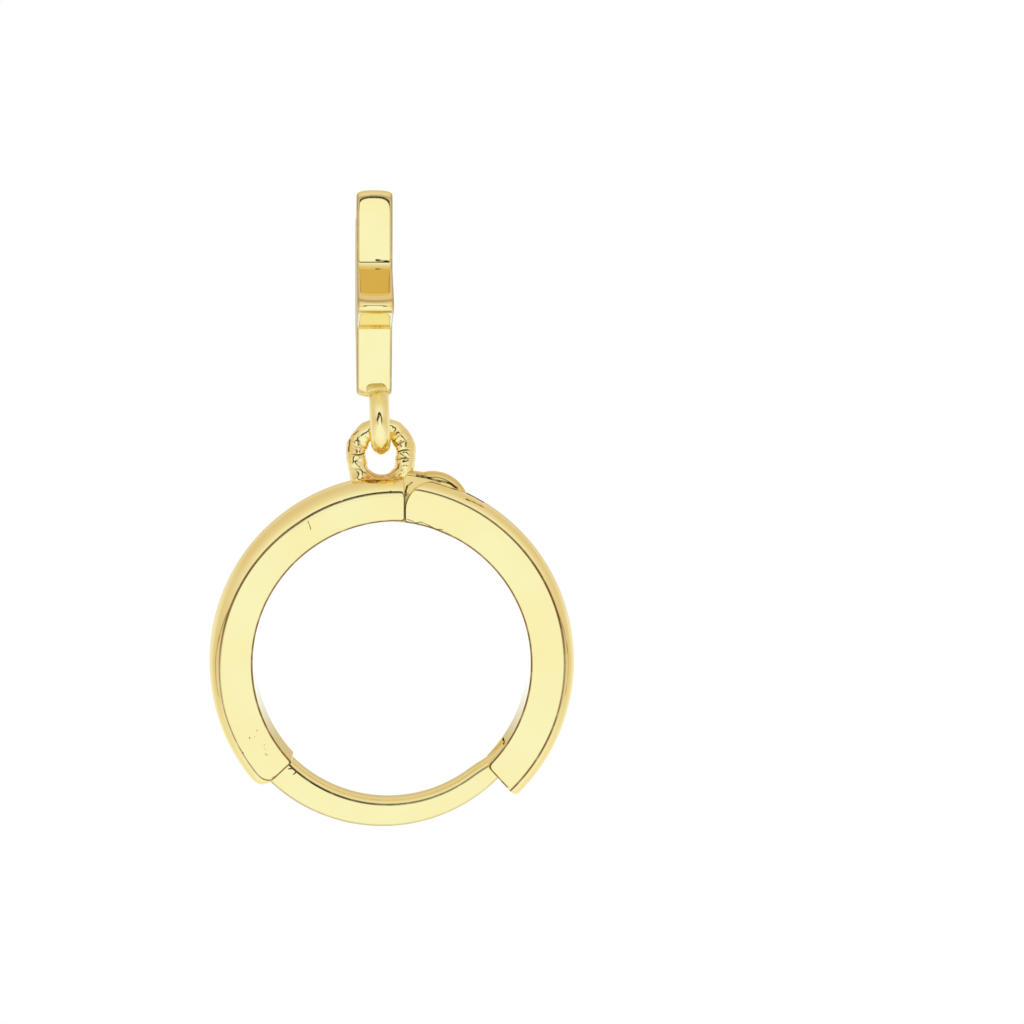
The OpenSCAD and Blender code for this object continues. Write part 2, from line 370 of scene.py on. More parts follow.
def poled(rows, ends):
    """Closed shell of rows of points (row, point, xyz) whose first and last rows run together at the
    two end points."""
    count, points = rows.shape[:2]
    size = count * points
    faces = [grid_faces(count, points), fan(points, size), fan(points, size + 1, size - points)]
    return np.concatenate([rows.reshape(-1, 3), ends]), faces


def as_lists(faces):
    """Face arrays of three or four corners as one list of lists."""
    if isinstance(faces, list):
        return [corners for block in faces for corners in block.tolist()]
    return faces.tolist()


def resample(points, count):
    """Points spaced evenly along a polyline, as many as count."""
    steps = np.hypot(*np.diff(points, axis=0).T)
    run = np.concatenate([[0], np.cumsum(steps)])
    at = np.linspace(0, run[-1], count)
    return np.stack([np.interp(at, run, points[:, 0]), np.interp(at, run, points[:, 1])], -1)


def ways(turn):
    """Unit directions in a plane at the given angles."""
    return np.stack([np.cos(turn), np.sin(turn)], -1)


def all_round(count):
    """Evenly spaced angles once round, as many as count."""
    return np.linspace(0, TURN, count, endpoint=False)


def quarter_round(radius, step):
    """A rounded edge in steps of so many degrees: how far each step lies below the face, and how far
    it is drawn in."""
    swing = np.radians(np.arange(0, 91, step))
    return radius * (1 - np.cos(swing)), radius * (1 - np.sin(swing))


def arc(centre, radius, start, end, count):
    """Points on a circle from one angle to another."""
    return centre + radius * ways(np.linspace(start, end, count))


def on_circle(centre, radius, turn):
    """The point of a circle at an angle."""
    return arc(centre, radius, turn, turn, 1)[0]


def angle_of(point, centre):
    """Angle, from 0 to a full turn, at which a point lies about a centre."""
    return math.atan2(*(point - centre)[::-1]) % TURN


def unit(vector):
    """The vector at length one."""
    return vector / np.hypot(*vector)


def rounded(before, corner, after, radius, count=9):
    """Replaces a corner by a parabola arc that leaves the sides a radius before it and after it."""
    to_before = (before - corner) / np.hypot(*(before - corner))
    to_after = (after - corner) / np.hypot(*(after - corner))
    a, b = corner + radius * to_before, corner + radius * to_after
    t = np.linspace(0, 1, count)[:, None]
    return (1 - t) ** 2 * a + 2 * t * (1 - t) * corner + t**2 * b


def ray_to_circle(start, direction, centre, radius):
    """Distance from start along each direction to the far side of a circle."""
    offset = start - centre
    b = direction @ offset
    c = offset @ offset - radius**2
    return -b + np.sqrt(np.maximum(b * b - c, 0))


def ray_into_circle(start, direction, centre, radius):
    """Distance from start along each direction to the near side of a circle, or one beyond every
    piece where the circle is missed."""
    offset = start - centre
    b = direction @ offset
    c = offset @ offset - radius**2
    root = b * b - c
    hit = -b - np.sqrt(np.maximum(root, 0))
    return np.where((root > 0) & (hit > 0), hit, FAR)


def ripple(u, v, seed, waves=14, low=1.0, high=6.0, round_count=3):
    """Smooth uneven height between about -1 and 1: a sum of waves across (u, v), whose whole-number
    counts in v, up to round_count either way, close it round the section."""
    rng = np.random.default_rng(seed)
    total = np.zeros(np.broadcast(u, v).shape)
    for _ in range(waves):
        ku = rng.uniform(low, high)
        kv = rng.integers(-round_count, round_count + 1)
        total += np.sin(TURN * ku * u + kv * v + rng.uniform(0, TURN)) / waves**0.5
    return total


def make_piece(name, shape, material, body, middle_z, sharp=40):
    """A smooth-shaded mesh piece from points in metres about the hoop's middle, its faces and, where
    given, each point's share of painted shade (dark reflection lines, and shade in gaps and cracks); it
    rides on a body."""
    points, faces, *shades = shape
    moved = np.array(points, dtype=float)
    moved[:, 2] += middle_z
    mesh = bpy.data.meshes.new(name)
    mesh.from_pydata(moved, [], as_lists(faces))
    # Each point's share of painted shade, kept as a mesh attribute; a negative share marks the star's
    # painted warm reflection tint
    painted_shade = np.array(shades[0] if shades else np.zeros(len(moved)), dtype=np.float32)
    mesh.attributes.new("painted_shade", "FLOAT", "POINT").data.foreach_set("value", painted_shade)
    shell = bmesh.new()
    shell.from_mesh(mesh)
    bmesh.ops.remove_doubles(shell, verts=shell.verts, dist=SAME)
    bmesh.ops.dissolve_degenerate(shell, edges=shell.edges, dist=SAME)
    bmesh.ops.recalc_face_normals(shell, faces=shell.faces)
    shell.to_mesh(mesh)
    shell.free()
    mesh.polygons.foreach_set("use_smooth", np.ones(len(mesh.polygons), dtype=bool))
    mesh.set_sharp_from_angle(angle=math.radians(sharp))
    mesh.materials.append(material)
    piece = bpy.data.objects.new(name, mesh)
    bpy.context.scene.collection.objects.link(piece)
    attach(piece, body)
    return piece


# Half angle of the dome's wide crown, in degrees
CROWN = 10


def band_layers(s, shoulder_r, cuts=()):
    """Heights y of a band's layers with, at each, the dome's radius and the inset of the inside and
    of the ends. The dome is a wide crown between two round shoulders. Where the outline changes, at
    the heights in cuts, two layers lie a hair apart."""
    hoop = s.hoop
    half_w = hoop.width / 2
    fine, coarse = np.arange(90, 70, -2.5), np.arange(70, CROWN, -5)
    swing = np.radians(np.concatenate([fine, coarse]))
    shoulder = half_w - shoulder_r + shoulder_r * np.sin(swing)
    edge = half_w - quarter_round(hoop.edge_r, 15)[0]
    middle = np.linspace(0, shoulder.min(), 7)
    y = np.unique(np.round(np.concatenate([shoulder, edge, middle, [half_w]]), 9))
    y = np.unique(np.concatenate([-y, y]))
    for cut in cuts:
        y = np.append(y, [-cut - HAIR, -cut + HAIR, cut - HAIR, cut + HAIR])
    y = np.sort(y)
    over = np.maximum(np.abs(y) - (half_w - hoop.edge_r), 0)
    inset = hoop.edge_r - np.sqrt(np.maximum(hoop.edge_r**2 - over**2, 0))
    return y, dome_radius(s, y, shoulder_r), inset


def dome_radius(s, y, shoulder_r):
    """The dome's radius at heights y, for shoulders of the given radius."""
    half_w = s.hoop.width / 2
    crown = math.radians(CROWN)
    crown_r = (half_w - shoulder_r * (1 - math.sin(crown))) / math.sin(crown)
    high = np.abs(y)
    shoulder_y = half_w - shoulder_r
    r_flat = s.r_dome - crown_r * (1 - math.cos(crown)) - shoulder_r * math.cos(crown)
    on_crown = s.r_dome - crown_r + np.sqrt(np.maximum(crown_r**2 - high**2, 0))
    on_shoulder = r_flat + np.sqrt(np.maximum(shoulder_r**2 - (high - shoulder_y) ** 2, 0))
    return np.where(high <= crown_r * math.sin(crown), on_crown, on_shoulder)


def outline(inner, far_end, outer, near_end):
    """One loop out of four runs, begun halfway along the near end so that opposite points pair up."""
    half = len(near_end) // 2
    return np.concatenate([near_end[half:], inner, far_end, outer, near_end[:half]])


# Painted shade and painted reflection lines as tables of places and shares: dark lines that stand for the
# dark studio card reflected in the roundings. An edge's places are shares of the way up its rounding
PAINTED_EDGE_LINE = ((0, 0.4, 0.6, 0.96, 1), (0, 0.35, 1, 1, 0.15))
# Painted reflection lines along the dome, by the height over the hoop's middle as a share of the distance
# from it: how strong the first and the second are, and how many degrees the second has drifted up the
# shoulder
LINE_STRENGTH = ((-0.9, -0.6, -0.25, 0, 0.4), (0.4, 1, 1, 0.6, 1))
SECOND_STRENGTH = ((-0.38, -0.25, 0.1, 0.25), (0, 0.75, 0.75, 0))
SECOND_DRIFT = ((-0.4, -0.05, 0.1, 0.25), (0, 18, 18, 10))
# Where a line begins, is full, is still full and ends, in degrees up the dome's shoulder
FIXED_LINE = (5.5, 8, 11, 13.5)
GATE_LINE = (4, 6, 13, 16)
SECOND_LINE = (6, 8, 10, 12)
# The same for the painted reflection line round the post's inner edges, in degrees of their rounding
POST_LINE = (0, 4, 18, 26)
PLATEAU = (0, 1, 1, 0)
# Painted shade on the outer edges of the post by degrees of their rounding, and the whole post's painted
# shade by degrees along its run
POST_RIM = ((0, 20, 50, 75), (0, 0.3, 0.5, 0))
POST_SHADE_ALONG = ((60, 120), (1.0, 0.5))
# Share of the side face beyond which a line counts as the dome's, and the strip at the dome's foot over
# which the painted shade of the other edges fades away
DOME_FROM = 0.8
CLEAN_REACH = 0.1 * MM
CLEAN_SOFT = 0.07 * MM


def edge_shade(y, half_w, radius):
    """Painted shade along an edge's rounding at heights y, a dark reflection line: full halfway round,
    none on the faces.
    """
    share_up = np.clip((np.abs(y) - half_w + radius) / radius, 0, 1)
    return np.interp(share_up, *PAINTED_EDGE_LINE)


def seam_shade(away, reach, soft=0.03 * MM, most=0.9):
    """Painted shade in the seam's gap, by the distance away from the seam: it ends at the reach, and fades
    in over a soft stretch before it."""
    return np.clip((reach - away) / soft, 0, most)


def band_shades(loops, y, s, centre, shoulder_r, ends_share, line):
    """Painted shade of a band's loops: along the inside and both ends at the edges, and a thin painted
    reflection line where the dome's shoulder begins. Beside the hoop's middle a second painted line leaves
    the first one and drifts up the shoulder."""
    hoop = s.hoop
    reach = np.hypot(loops[..., 0] - centre[0], loops[..., 1] - centre[1])
    face_r = reach[0][None] if np.ptp(shoulder_r) else reach[0].max()
    on_dome = reach > hoop.r_in + DOME_FROM * hoop.side_t
    clean = np.clip((reach - face_r + CLEAN_REACH) / CLEAN_SOFT, 0, 1) * on_dome
    edges = edge_shade(y, hoop.width / 2, hoop.edge_r)[:, None]
    climb = np.degrees(np.arcsin(np.clip((reach - face_r) / shoulder_r, 0, 1)))
    level = loops[..., 1] / reach
    first = np.interp(climb, line, PLATEAU) * np.interp(level, *LINE_STRENGTH)
    drifted = climb - np.interp(level, *SECOND_DRIFT)
    second = np.interp(drifted, SECOND_LINE, PLATEAU) * np.interp(level, *SECOND_STRENGTH)
    return np.clip(np.maximum(edges, ends_share) * (1 - clean) + np.maximum(first, second) * on_dome, 0, 1)


def lift(loops, y):
    """Flat loops (layer, point, xz) at heights y as points in space."""
    layers = np.empty((*loops.shape[:2], 3))
    layers[..., 0] = loops[..., 0]
    layers[..., 1] = y[:, None]
    layers[..., 2] = loops[..., 1]
    return layers


# Points along a band's arcs, and across half of one of its ends
ALONG = 220
ACROSS = 48


def fixed_band(s):
    """Fixed half of the band. In each layer the loop runs along the inside arc, across the end at the
    ear post, back along the dome and down the flat seam face; its corners are rounded. The dome's
    shoulders grow sharper towards the ear post."""
    hoop = s.hoop
    centre = np.array([-hoop.shift, 0.0])
    y, dome, inset = band_layers(s, hoop.fixed_shoulder_r)
    dome_end = dome_radius(s, y, hoop.end_shoulder_r)
    loops = []
    for round_r, sharp_r, shrink in zip(dome, dome_end, inset):
        inner_r = hoop.r_in + shrink
        seam = hoop.seam_x + hoop.seam_gap / 2 + shrink * hoop.seam_edge - centre[0]
        start = -math.acos(seam / inner_r), -math.acos(seam / round_r)
        end = hoop.fixed_end - shrink / inner_r, hoop.fixed_end - shrink / sharp_r
        loops.append(fixed_loop(s, centre, inner_r, (round_r, sharp_r), start, end))
    loops = np.array(loops)
    # Painted shade in the seam's gap, and painted reflection lines along the edges and the dome's shoulder
    at_seam = seam_shade(loops[..., 0] - hoop.seam_x, reach=0.05 * MM)
    turn = np.arctan2(loops[0, :, 1], loops[0, :, 0] - centre[0])
    shoulder_r = hoop.fixed_shoulder_r + (hoop.end_shoulder_r - hoop.fixed_shoulder_r) * sharper(turn)
    shades = band_shades(loops, y, s, centre, shoulder_r[None], at_seam, FIXED_LINE)
    return stack(lift(loops, y), shades)


def sharper(turn, start=math.radians(-55), stretch=math.radians(70)):
    """Share, along the fixed half, by which its shoulder has grown sharp: none up to the start, and
    all of it a stretch further on."""
    return np.clip((turn - start) / stretch, 0, 1)


def fixed_loop(s, centre, inner_r, outer_r, start, end):
    """Loop of the fixed half between its two end faces, given as angles inside and outside."""
    seam_r, end_in, end_out = s.hoop.corner_r, s.hoop.end_in_r, s.hoop.end_r
    inner = arc(centre, inner_r, start[0] + seam_r / inner_r, end[0] - end_in / inner_r, ALONG)
    turn = np.linspace(end[1] - end_out / outer_r[1], start[1] + seam_r / outer_r[0], ALONG)
    reach = outer_r[0] + (outer_r[1] - outer_r[0]) * sharper(turn)
    outer = centre + reach[:, None] * ways(turn)
    far = on_circle(centre, inner_r, end[0]), on_circle(centre, outer_r[1], end[1])
    near = on_circle(centre, outer_r[0], start[1]), on_circle(centre, inner_r, start[0])
    far_run = np.concatenate(
        [rounded(inner[-1], far[0], far[1], end_in), rounded(far[0], far[1], outer[0], end_out, 15)]
    )
    near_run = np.concatenate(
        [rounded(outer[-1], near[0], near[1], seam_r), rounded(near[0], near[1], inner[0], seam_r)]
    )
    return outline(inner, resample(far_run, ACROSS), outer, resample(near_run, ACROSS))


# A step back along the gate's end face, to well inside the hoop
STEP_BACK = 3 * MM
# How far past the pin the gate's inside arc ends, in radii of the knuckle
SLOT_SPAN = 1.35
# Angles about the pin between which the slot's round wall is looked for
SLOT_START, SLOT_STOP = math.radians(150), math.radians(262)
# How far the recess's roof is drawn, in radians, before it is cut at the end face
ROOF_TURN = 0.35


def gate_band(s):
    """Gate half of the band, built in layers. Its hinge end is a round heel in the cheeks and a round
    slot with a shallow groove between them; its free end is a leaning face, hollowed between the
    recess walls for the ear post's tip."""
    hoop, hinge, post = s.hoop, s.hinge, s.post
    centre = np.array([hoop.shift, 0.0])
    slot_half = hinge.knuckle_w / 2 + hinge.cheek_gap
    recess_half = post.width / 2 + post.catch_gap
    y, dome, inset = band_layers(s, hoop.shoulder_r, (slot_half, recess_half))
    recess_angle = hoop.gate_end + (post.catch + post.catch_gap) / s.post_r
    face_dir = ways(hoop.gate_end - hoop.gate_lean)
    face_normal = np.array([face_dir[1], -face_dir[0]])
    corner = on_circle(centre, hoop.r_in, hoop.gate_end)
    loops = []
    for high, outer_r, shrink in zip(np.abs(y), dome, inset):
        inner_r = hoop.r_in + shrink
        base = corner - shrink * face_normal
        back = base - STEP_BACK * face_dir
        face_in = back + face_dir * ray_to_circle(back, face_dir, centre, inner_r)
        face_out = base + face_dir * ray_to_circle(base, face_dir, centre, outer_r)
        outer_angle = angle_of(face_out, centre) + hoop.free_r / outer_r
        turn_out = rounded(face_in, face_out, on_circle(centre, outer_r, outer_angle), hoop.free_r)
        if high < recess_half:
            common_in = on_circle(centre, inner_r, recess_angle)
            roof = recess_roof(s, common_in)
            roof = roof[(roof - base) @ face_normal < 0]
            near_run = np.concatenate([turn_out[::-1], roof[::-1], [common_in]])
        else:
            in_angle = angle_of(face_in, centre) + hoop.free_r / inner_r
            stretch = arc(centre, inner_r, in_angle, recess_angle, 20)
            turn_in = rounded(face_out, face_in, stretch[0], hoop.free_r)
            near_run = np.concatenate([turn_out[::-1], turn_in, stretch])
        slot_x = s.pin[0] - hinge.knuckle_r * SLOT_SPAN - centre[0]
        inner_end = TURN - math.acos(np.clip(slot_x / inner_r, -1, 1))
        inner = arc(centre, inner_r, recess_angle, inner_end, ALONG)
        outer = arc(centre, outer_r, hinge.groove_end, outer_angle, ALONG)
        far_run = hinge_end(s, centre, inner_r, outer_r, shrink, inner[-1], outer[0], high < slot_half)
        loops.append(outline(inner, resample(far_run, 2 * ACROSS), outer, resample(near_run, 2 * ACROSS)))
    loops = np.array(loops)
    # Painted shade in the seam's gap, and painted reflection lines along the edges and the dome's shoulder
    at_seam = seam_shade(hoop.seam_x - loops[..., 0], reach=0.06 * MM)
    shades = band_shades(loops, y, s, centre, hoop.shoulder_r, at_seam, GATE_LINE)
    return stack(lift(loops, y), shades)


def recess_roof(s, start):
    """Roof of the recess for the post's tip: an arc about the centre of the post's outer circle, begun
    straight outwards from a point on the gate's inside."""
    post = s.post
    centre = np.array([post.x + post.taper, post.z])
    radius = s.post_r + post.thick + post.catch_gap
    outwards = unit(start)
    top = start + outwards * ray_to_circle(start, outwards, centre, radius)
    first = angle_of(top, centre)
    return arc(centre, radius, first, first - ROOF_TURN, 60)


def hinge_end(s, centre, inner_r, outer_r, shrink, from_point, to_point, slotted):
    """The gate's hinge end, from the inside arc to the dome: between the cheeks a round slot about
    the pin and the floor of the groove, and in the cheeks the seam face and the round heel."""
    hoop, hinge = s.hoop, s.hinge
    from_angle, to_angle = angle_of(from_point, centre), angle_of(to_point, centre)
    if slotted:
        around = arc(s.pin, hinge.knuckle_r + hinge.rim_gap, SLOT_START, SLOT_STOP, 400)
        reach = np.hypot(*(around - centre).T)
        floor_r = outer_r - hinge.groove_depth
        around = around[(reach > inner_r) & (reach < floor_r)]
        inside = arc(centre, inner_r, from_angle, angle_of(around[0], centre), 10)
        floor = arc(centre, floor_r, angle_of(around[-1], centre), to_angle, 30)
        return np.concatenate([inside, around, floor, [to_point]])
    turn = np.linspace(math.pi / 2, -math.pi / 2, 240)
    away = ways(turn)
    seam = hoop.seam_x - hoop.seam_gap / 2 - s.pin[0] - shrink * hoop.seam_edge
    straight = seam / np.maximum(away[:, 0], TINY)
    reach = np.where(turn > 0, straight, seam)
    reach = np.minimum(reach, ray_to_circle(s.pin, away, centre, outer_r))
    reach = np.minimum(reach, ray_into_circle(s.pin, away, centre, inner_r))
    heel = s.pin + away * reach[:, None]
    inside = arc(centre, inner_r, from_angle, angle_of(heel[0], centre), 30)
    outside = arc(centre, outer_r, angle_of(heel[-1], centre), to_angle, 40)
    return np.concatenate([inside, heel, outside])


def knuckle(s, neck_root=0.3 * MM):
    """Round tongue with its neck: in each layer the distance from the pin is the larger of the disc's
    radius and the way to the neck's end and top, cut short where it meets the inside of the hoop. The
    neck's root is let into the fixed half."""
    hinge, hoop = s.hinge, s.hoop
    down, inset = quarter_round(hinge.knuckle_edge, 10)
    y = hinge.knuckle_w / 2 - down
    y = np.concatenate([y, [0.0], -y[::-1]])
    inset = np.concatenate([inset, [0.0], inset[::-1]])
    away = ways(all_round(480))
    end = hoop.seam_x + hoop.seam_gap / 2 + neck_root - hinge.x
    to_end = end / np.maximum(away[:, 0], TINY)
    to_top = ray_to_circle(s.pin, away, np.zeros(2), s.r_dome + hinge.neck_out)
    neck = np.where(away[:, 0] > 0, np.minimum(to_end, to_top), 0)
    reach = np.maximum(hinge.knuckle_r, neck)
    hollow = ray_into_circle(s.pin, away, np.array([hoop.shift, 0.0]), hoop.r_in - hinge.knuckle_in)
    reach = np.minimum(reach, hollow)
    loops = s.pin + away[None] * (reach[None, :, None] - inset[:, None, None])
    ends = [[s.pin[0], y[0], s.pin[1]], [s.pin[0], y[-1], s.pin[1]]]
    points, faces = poled(lift(loops, y), ends)
    # Painted shade on the knuckle where it lies inside the hoop, strongest near the seam's gap
    near_seam = seam_shade(hoop.seam_x - points[:, 0], reach=0.25 * MM, soft=0.1 * MM, most=0.5)
    inside = points[:, 2] > -s.r_flat
    return points, faces, np.where(inside, near_seam, 0.0)


def pin_bar(s, cover=0.02 * MM, edge=0.06 * MM):
    """Hinge pin: a round bar with rounded ends, hidden under a thin cover, the polished faces of the
    cheeks."""
    half = s.hoop.width / 2 - cover
    down, inset = quarter_round(edge, 15)
    y = np.concatenate([down - half, (half - down)[::-1]])
    r = s.hinge.pin_r - np.concatenate([inset, inset[::-1]])
    loops = s.pin + r[:, None, None] * ways(all_round(96))[None]
    return stack(lift(loops, y))


def ear_post(s, rows=260, step_run=1.4 * MM, tip_end=0.98):
    """Curved bar: at each angle about the inside curve's centre the section is a rounded rectangle
    from the inside circle to the outside circle, which has another centre. The inside steps back over
    the last run before the tip. The tip is rounded, and ends just before its edges would meet."""
    hoop, post = s.hoop, s.post
    start = hoop.fixed_end - post.root / s.post_r
    end = hoop.gate_end + post.catch / s.post_r
    soft = post.tip_r
    swing = np.radians(np.arange(10, 91, 10))
    tip = end - soft / s.post_r * (1 - np.sin(swing))
    phi = np.concatenate([np.linspace(start, end - soft / s.post_r, rows), tip])
    shrink = np.concatenate([np.zeros(rows), soft * (1 - np.cos(swing)) * tip_end])
    outer_r = s.post_r + post.thick
    outer = post.taper * np.cos(phi) + np.sqrt(outer_r**2 - (post.taper * np.sin(phi)) ** 2)
    signs, corner = section_corners(14)
    outside = signs[:, 0] > 0
    edge = np.where(outside, post.edge_out, post.edge_in)
    to_tip = np.clip(1 - (end - phi) * s.post_r / step_run, 0, 1)
    step = post.tip_in * to_tip**2 * (3 - 2 * to_tip)
    low = (s.post_r + shrink + step)[:, None] + edge
    high = (outer - shrink)[:, None] - edge
    half = post.width / 2 - edge - shrink[:, None]
    r = np.where(outside, high, low) + edge * corner[:, 0]
    y = signs[:, 1] * half + edge * corner[:, 1]
    points = np.stack(
        [post.x + r * np.cos(phi)[:, None], y, post.z + r * np.sin(phi)[:, None]], -1
    )
    tilt = np.degrees(np.arccos(np.clip(np.abs(corner[:, 1]), 0, 1)))
    # Painted reflection lines round the post's inner edges and painted shade on its outer ones
    shades = np.where(outside, np.interp(tilt, *POST_RIM), np.interp(tilt, POST_LINE, PLATEAU))
    return stack(points, shades * np.interp(np.degrees(phi), *POST_SHADE_ALONG)[:, None])


def section_corners(steps):
    """Signs of the four corners of a rounded rectangle and the unit arcs about them, begun in the
    middle of a side so that opposite points pair up."""
    quarter = np.linspace(0, math.pi / 2, steps)
    signs, arcs = [], []
    for k, (a, b) in enumerate(((1, 1), (-1, 1), (-1, -1), (1, -1))):
        signs += [(a, b)] * steps
        arcs.append(ways(quarter + k * math.pi / 2))
    return np.array(signs, dtype=float), np.concatenate(arcs)


# Cracks across the loop's wire: place along it, depth in radii of the wire, and half width along it
LOOP_CRACKS = (
    (0.2, 0.12, 0.005), (0.262, 0.05, 0.004), (0.645, 0.06, 0.005), (0.7, 0.1, 0.004),
    (0.765, 0.12, 0.005), (0.825, 0.1, 0.005),
)
# How uneven the loop's wire is, in its radii: long lumps, short lumps and a worn facet on the front
LONG_LUMPS, SHORT_LUMPS, FACET = 0.045, 0.022, 0.1
# How far a crack strays along the wire
CRACK_STRAY = 0.012
# Painted shade in a crack: its depth over the first number, less the second, and at most the third
CRACK_DEPTH, CRACK_PALE, CRACK_DARK = 0.09, 0.25, 0.9
# Where cracks run out round the wire, and how far they lean towards the inside of the loop
CRACK_RIM, CRACK_LEAN = 0.1, 0.45


def tube(path, frame_u, frame_v, radius, widen=1.0):
    """Points of a tube: at each place of the path a ring in the plane of the two given directions,
    which is widened along the second one."""
    turn = all_round(radius.shape[1])
    ring = frame_u[:, None] * np.cos(turn)[:, None] + widen * frame_v[:, None] * np.sin(turn)[:, None]
    return path[:, None] + ring * radius[..., None]


def hanging_loop(s):
    """Hand-worked wire: a straight leg, half a ring and a straight leg, with an uneven radius and
    narrow cracks across it; the legs are drawn in a little towards their feet."""
    loop = s.loop
    leg = loop.leg + loop.root
    run = np.linspace(0, 2 * leg + math.pi * s.loop_r, 620)
    around = np.clip((run - leg) / s.loop_r, 0, math.pi)
    up = np.where(run < leg, leg - run, np.maximum(run - leg - math.pi * s.loop_r, 0))
    reach = s.loop_r - loop.draw * (np.minimum(up, loop.leg) / loop.leg) ** 2
    x = loop.x + reach * np.cos(around)
    z = s.loop_z - s.loop_r * np.sin(around) + up
    path = np.stack([x, np.zeros_like(x), z], -1)
    out = np.stack([np.cos(around), np.zeros_like(x), -np.sin(around)], -1)
    side = np.tile([0.0, 1.0, 0.0], (len(run), 1))
    turn = all_round(96)[None]
    along = (run / run[-1])[:, None]
    lumps = LONG_LUMPS * ripple(along, turn, 5, low=2, high=9)
    lumps = lumps + SHORT_LUMPS * ripple(along, turn, 8, low=8, high=24)
    front = np.clip(-CRACK_RIM - np.sin(turn) - CRACK_LEAN * np.cos(turn), 0, 1)
    strayed = along + CRACK_STRAY * ripple(along * 0, turn, 3, low=1, high=2)
    cracks = sum(depth * crack(strayed, at, width) for at, depth, width in LOOP_CRACKS) * front
    facet = FACET * np.clip(np.cos(turn + math.pi / 2), 0, 1) ** 4
    radius = loop.wire / 2 * (1 + lumps - cracks - facet)
    points = tube(path, out, side, radius)
    # The cracks are darkened with painted shade
    return stack(points, np.clip(cracks / CRACK_DEPTH - CRACK_PALE, 0, CRACK_DARK))


def crack(along, at, width):
    """A narrow dip of unit depth at a place along a run: e to the minus squared distance in widths."""
    return np.exp(-(((along - at) / width) ** 2))


def loop_foot(s, sunk=0.2, slim_end=0.2, slim_rate=1.5, lump=0.09, widen=1.6):
    """Solder between the feet of the loop: a lumpy arc that closes the loop's hole with a round
    bottom. Its ends are sunk into the legs by an angle, and it slims down towards them."""
    loop = s.loop
    wire = loop.foot_wire
    reach, depth = loop.inside / 2 + wire, loop.foot_depth + wire
    a = np.linspace(-sunk, math.pi + sunk, 160)
    z = -s.r_dome - loop.foot - loop.foot_depth
    path = np.stack([loop.x + reach * np.cos(a), np.zeros_like(a), z + depth * np.sin(a)], -1)
    out = np.stack([np.cos(a), np.zeros_like(a), np.sin(a)], -1)
    side = np.tile([0.0, 1.0, 0.0], (len(a), 1))
    turn = all_round(64)[None]
    lumps = ripple(np.linspace(0, 1, len(a))[:, None], turn, 21, low=0.5, high=2.5)
    slim = np.clip(np.sin(a) * slim_rate, slim_end, 1)[:, None]
    return stack(tube(path, out, side, wire * slim * (1 + lump * lumps), widen))


def charm_ring(s, long_wave=0.012, short_wave=0.008):
    """Ring of round wire in the plane of the star, closed on itself. Two waves round the ring make its
    wire a little uneven."""
    charm = s.charm
    run = all_round(300)
    up = s.ring_r * np.sin(run)
    x = s.loop.x + (s.ring_r - up) * math.tan(charm.lean)
    path = np.stack([x, s.ring_r * np.cos(run), s.ring_z + up], -1)
    out = np.stack([np.zeros_like(run), np.cos(run), np.sin(run)], -1)
    side = np.tile([1.0, 0.0, 0.0], (len(run), 1))
    turn = all_round(64)[None]
    waves = long_wave * np.cos(run * 3 + 1)[:, None] * np.cos(turn * 2)
    waves = waves + short_wave * np.cos(run * 7)[:, None] * np.sin(turn + 2)
    radius = charm.ring_wire / 2 * (1 + waves)
    points = tube(path, out, side, radius, charm.ring_flat / charm.ring_wire)
    return points.reshape(-1, 3), grid_faces(len(run), turn.shape[1], round_rows=True)


# Points of the star's outline: round each of its ten corners, and along each side between them
CORNER, PER_SIDE = 13, 30
# The painted reflection line beside each point of the star: how many points in from the corner's end, how
# dark
TIP_LINE, TIP_DARK = 3, 0.6
# How dark the star's painted edge lines are, and the share up to which they leave the side wall's painted
# reflection tint be
STAR_EDGE_DARK, STAR_EDGE_PALE = 0.6, 0.05


def star_loop(point_r, notch_r, tip, notch):
    """Outline of a five-pointed star whose points and inner corners are rounded by parabola arcs."""
    at_point = np.arange(10) % 2 == 0
    corners = np.where(at_point, point_r, notch_r)[:, None] * ways(math.pi / 2 + np.arange(10) * STAR_STEP)
    soft = np.where(at_point, tip, notch)
    runs = [rounded(corners[i - 1], corners[i], corners[(i + 1) % 10], soft[i], CORNER) for i in range(10)]
    t = np.linspace(0, 1, PER_SIDE + 2)[1:-1, None]
    loop = []
    for run, following in zip(runs, runs[1:] + runs[:1]):
        loop += [run, run[-1] * (1 - t) + following[0] * t]
    return np.concatenate(loop)


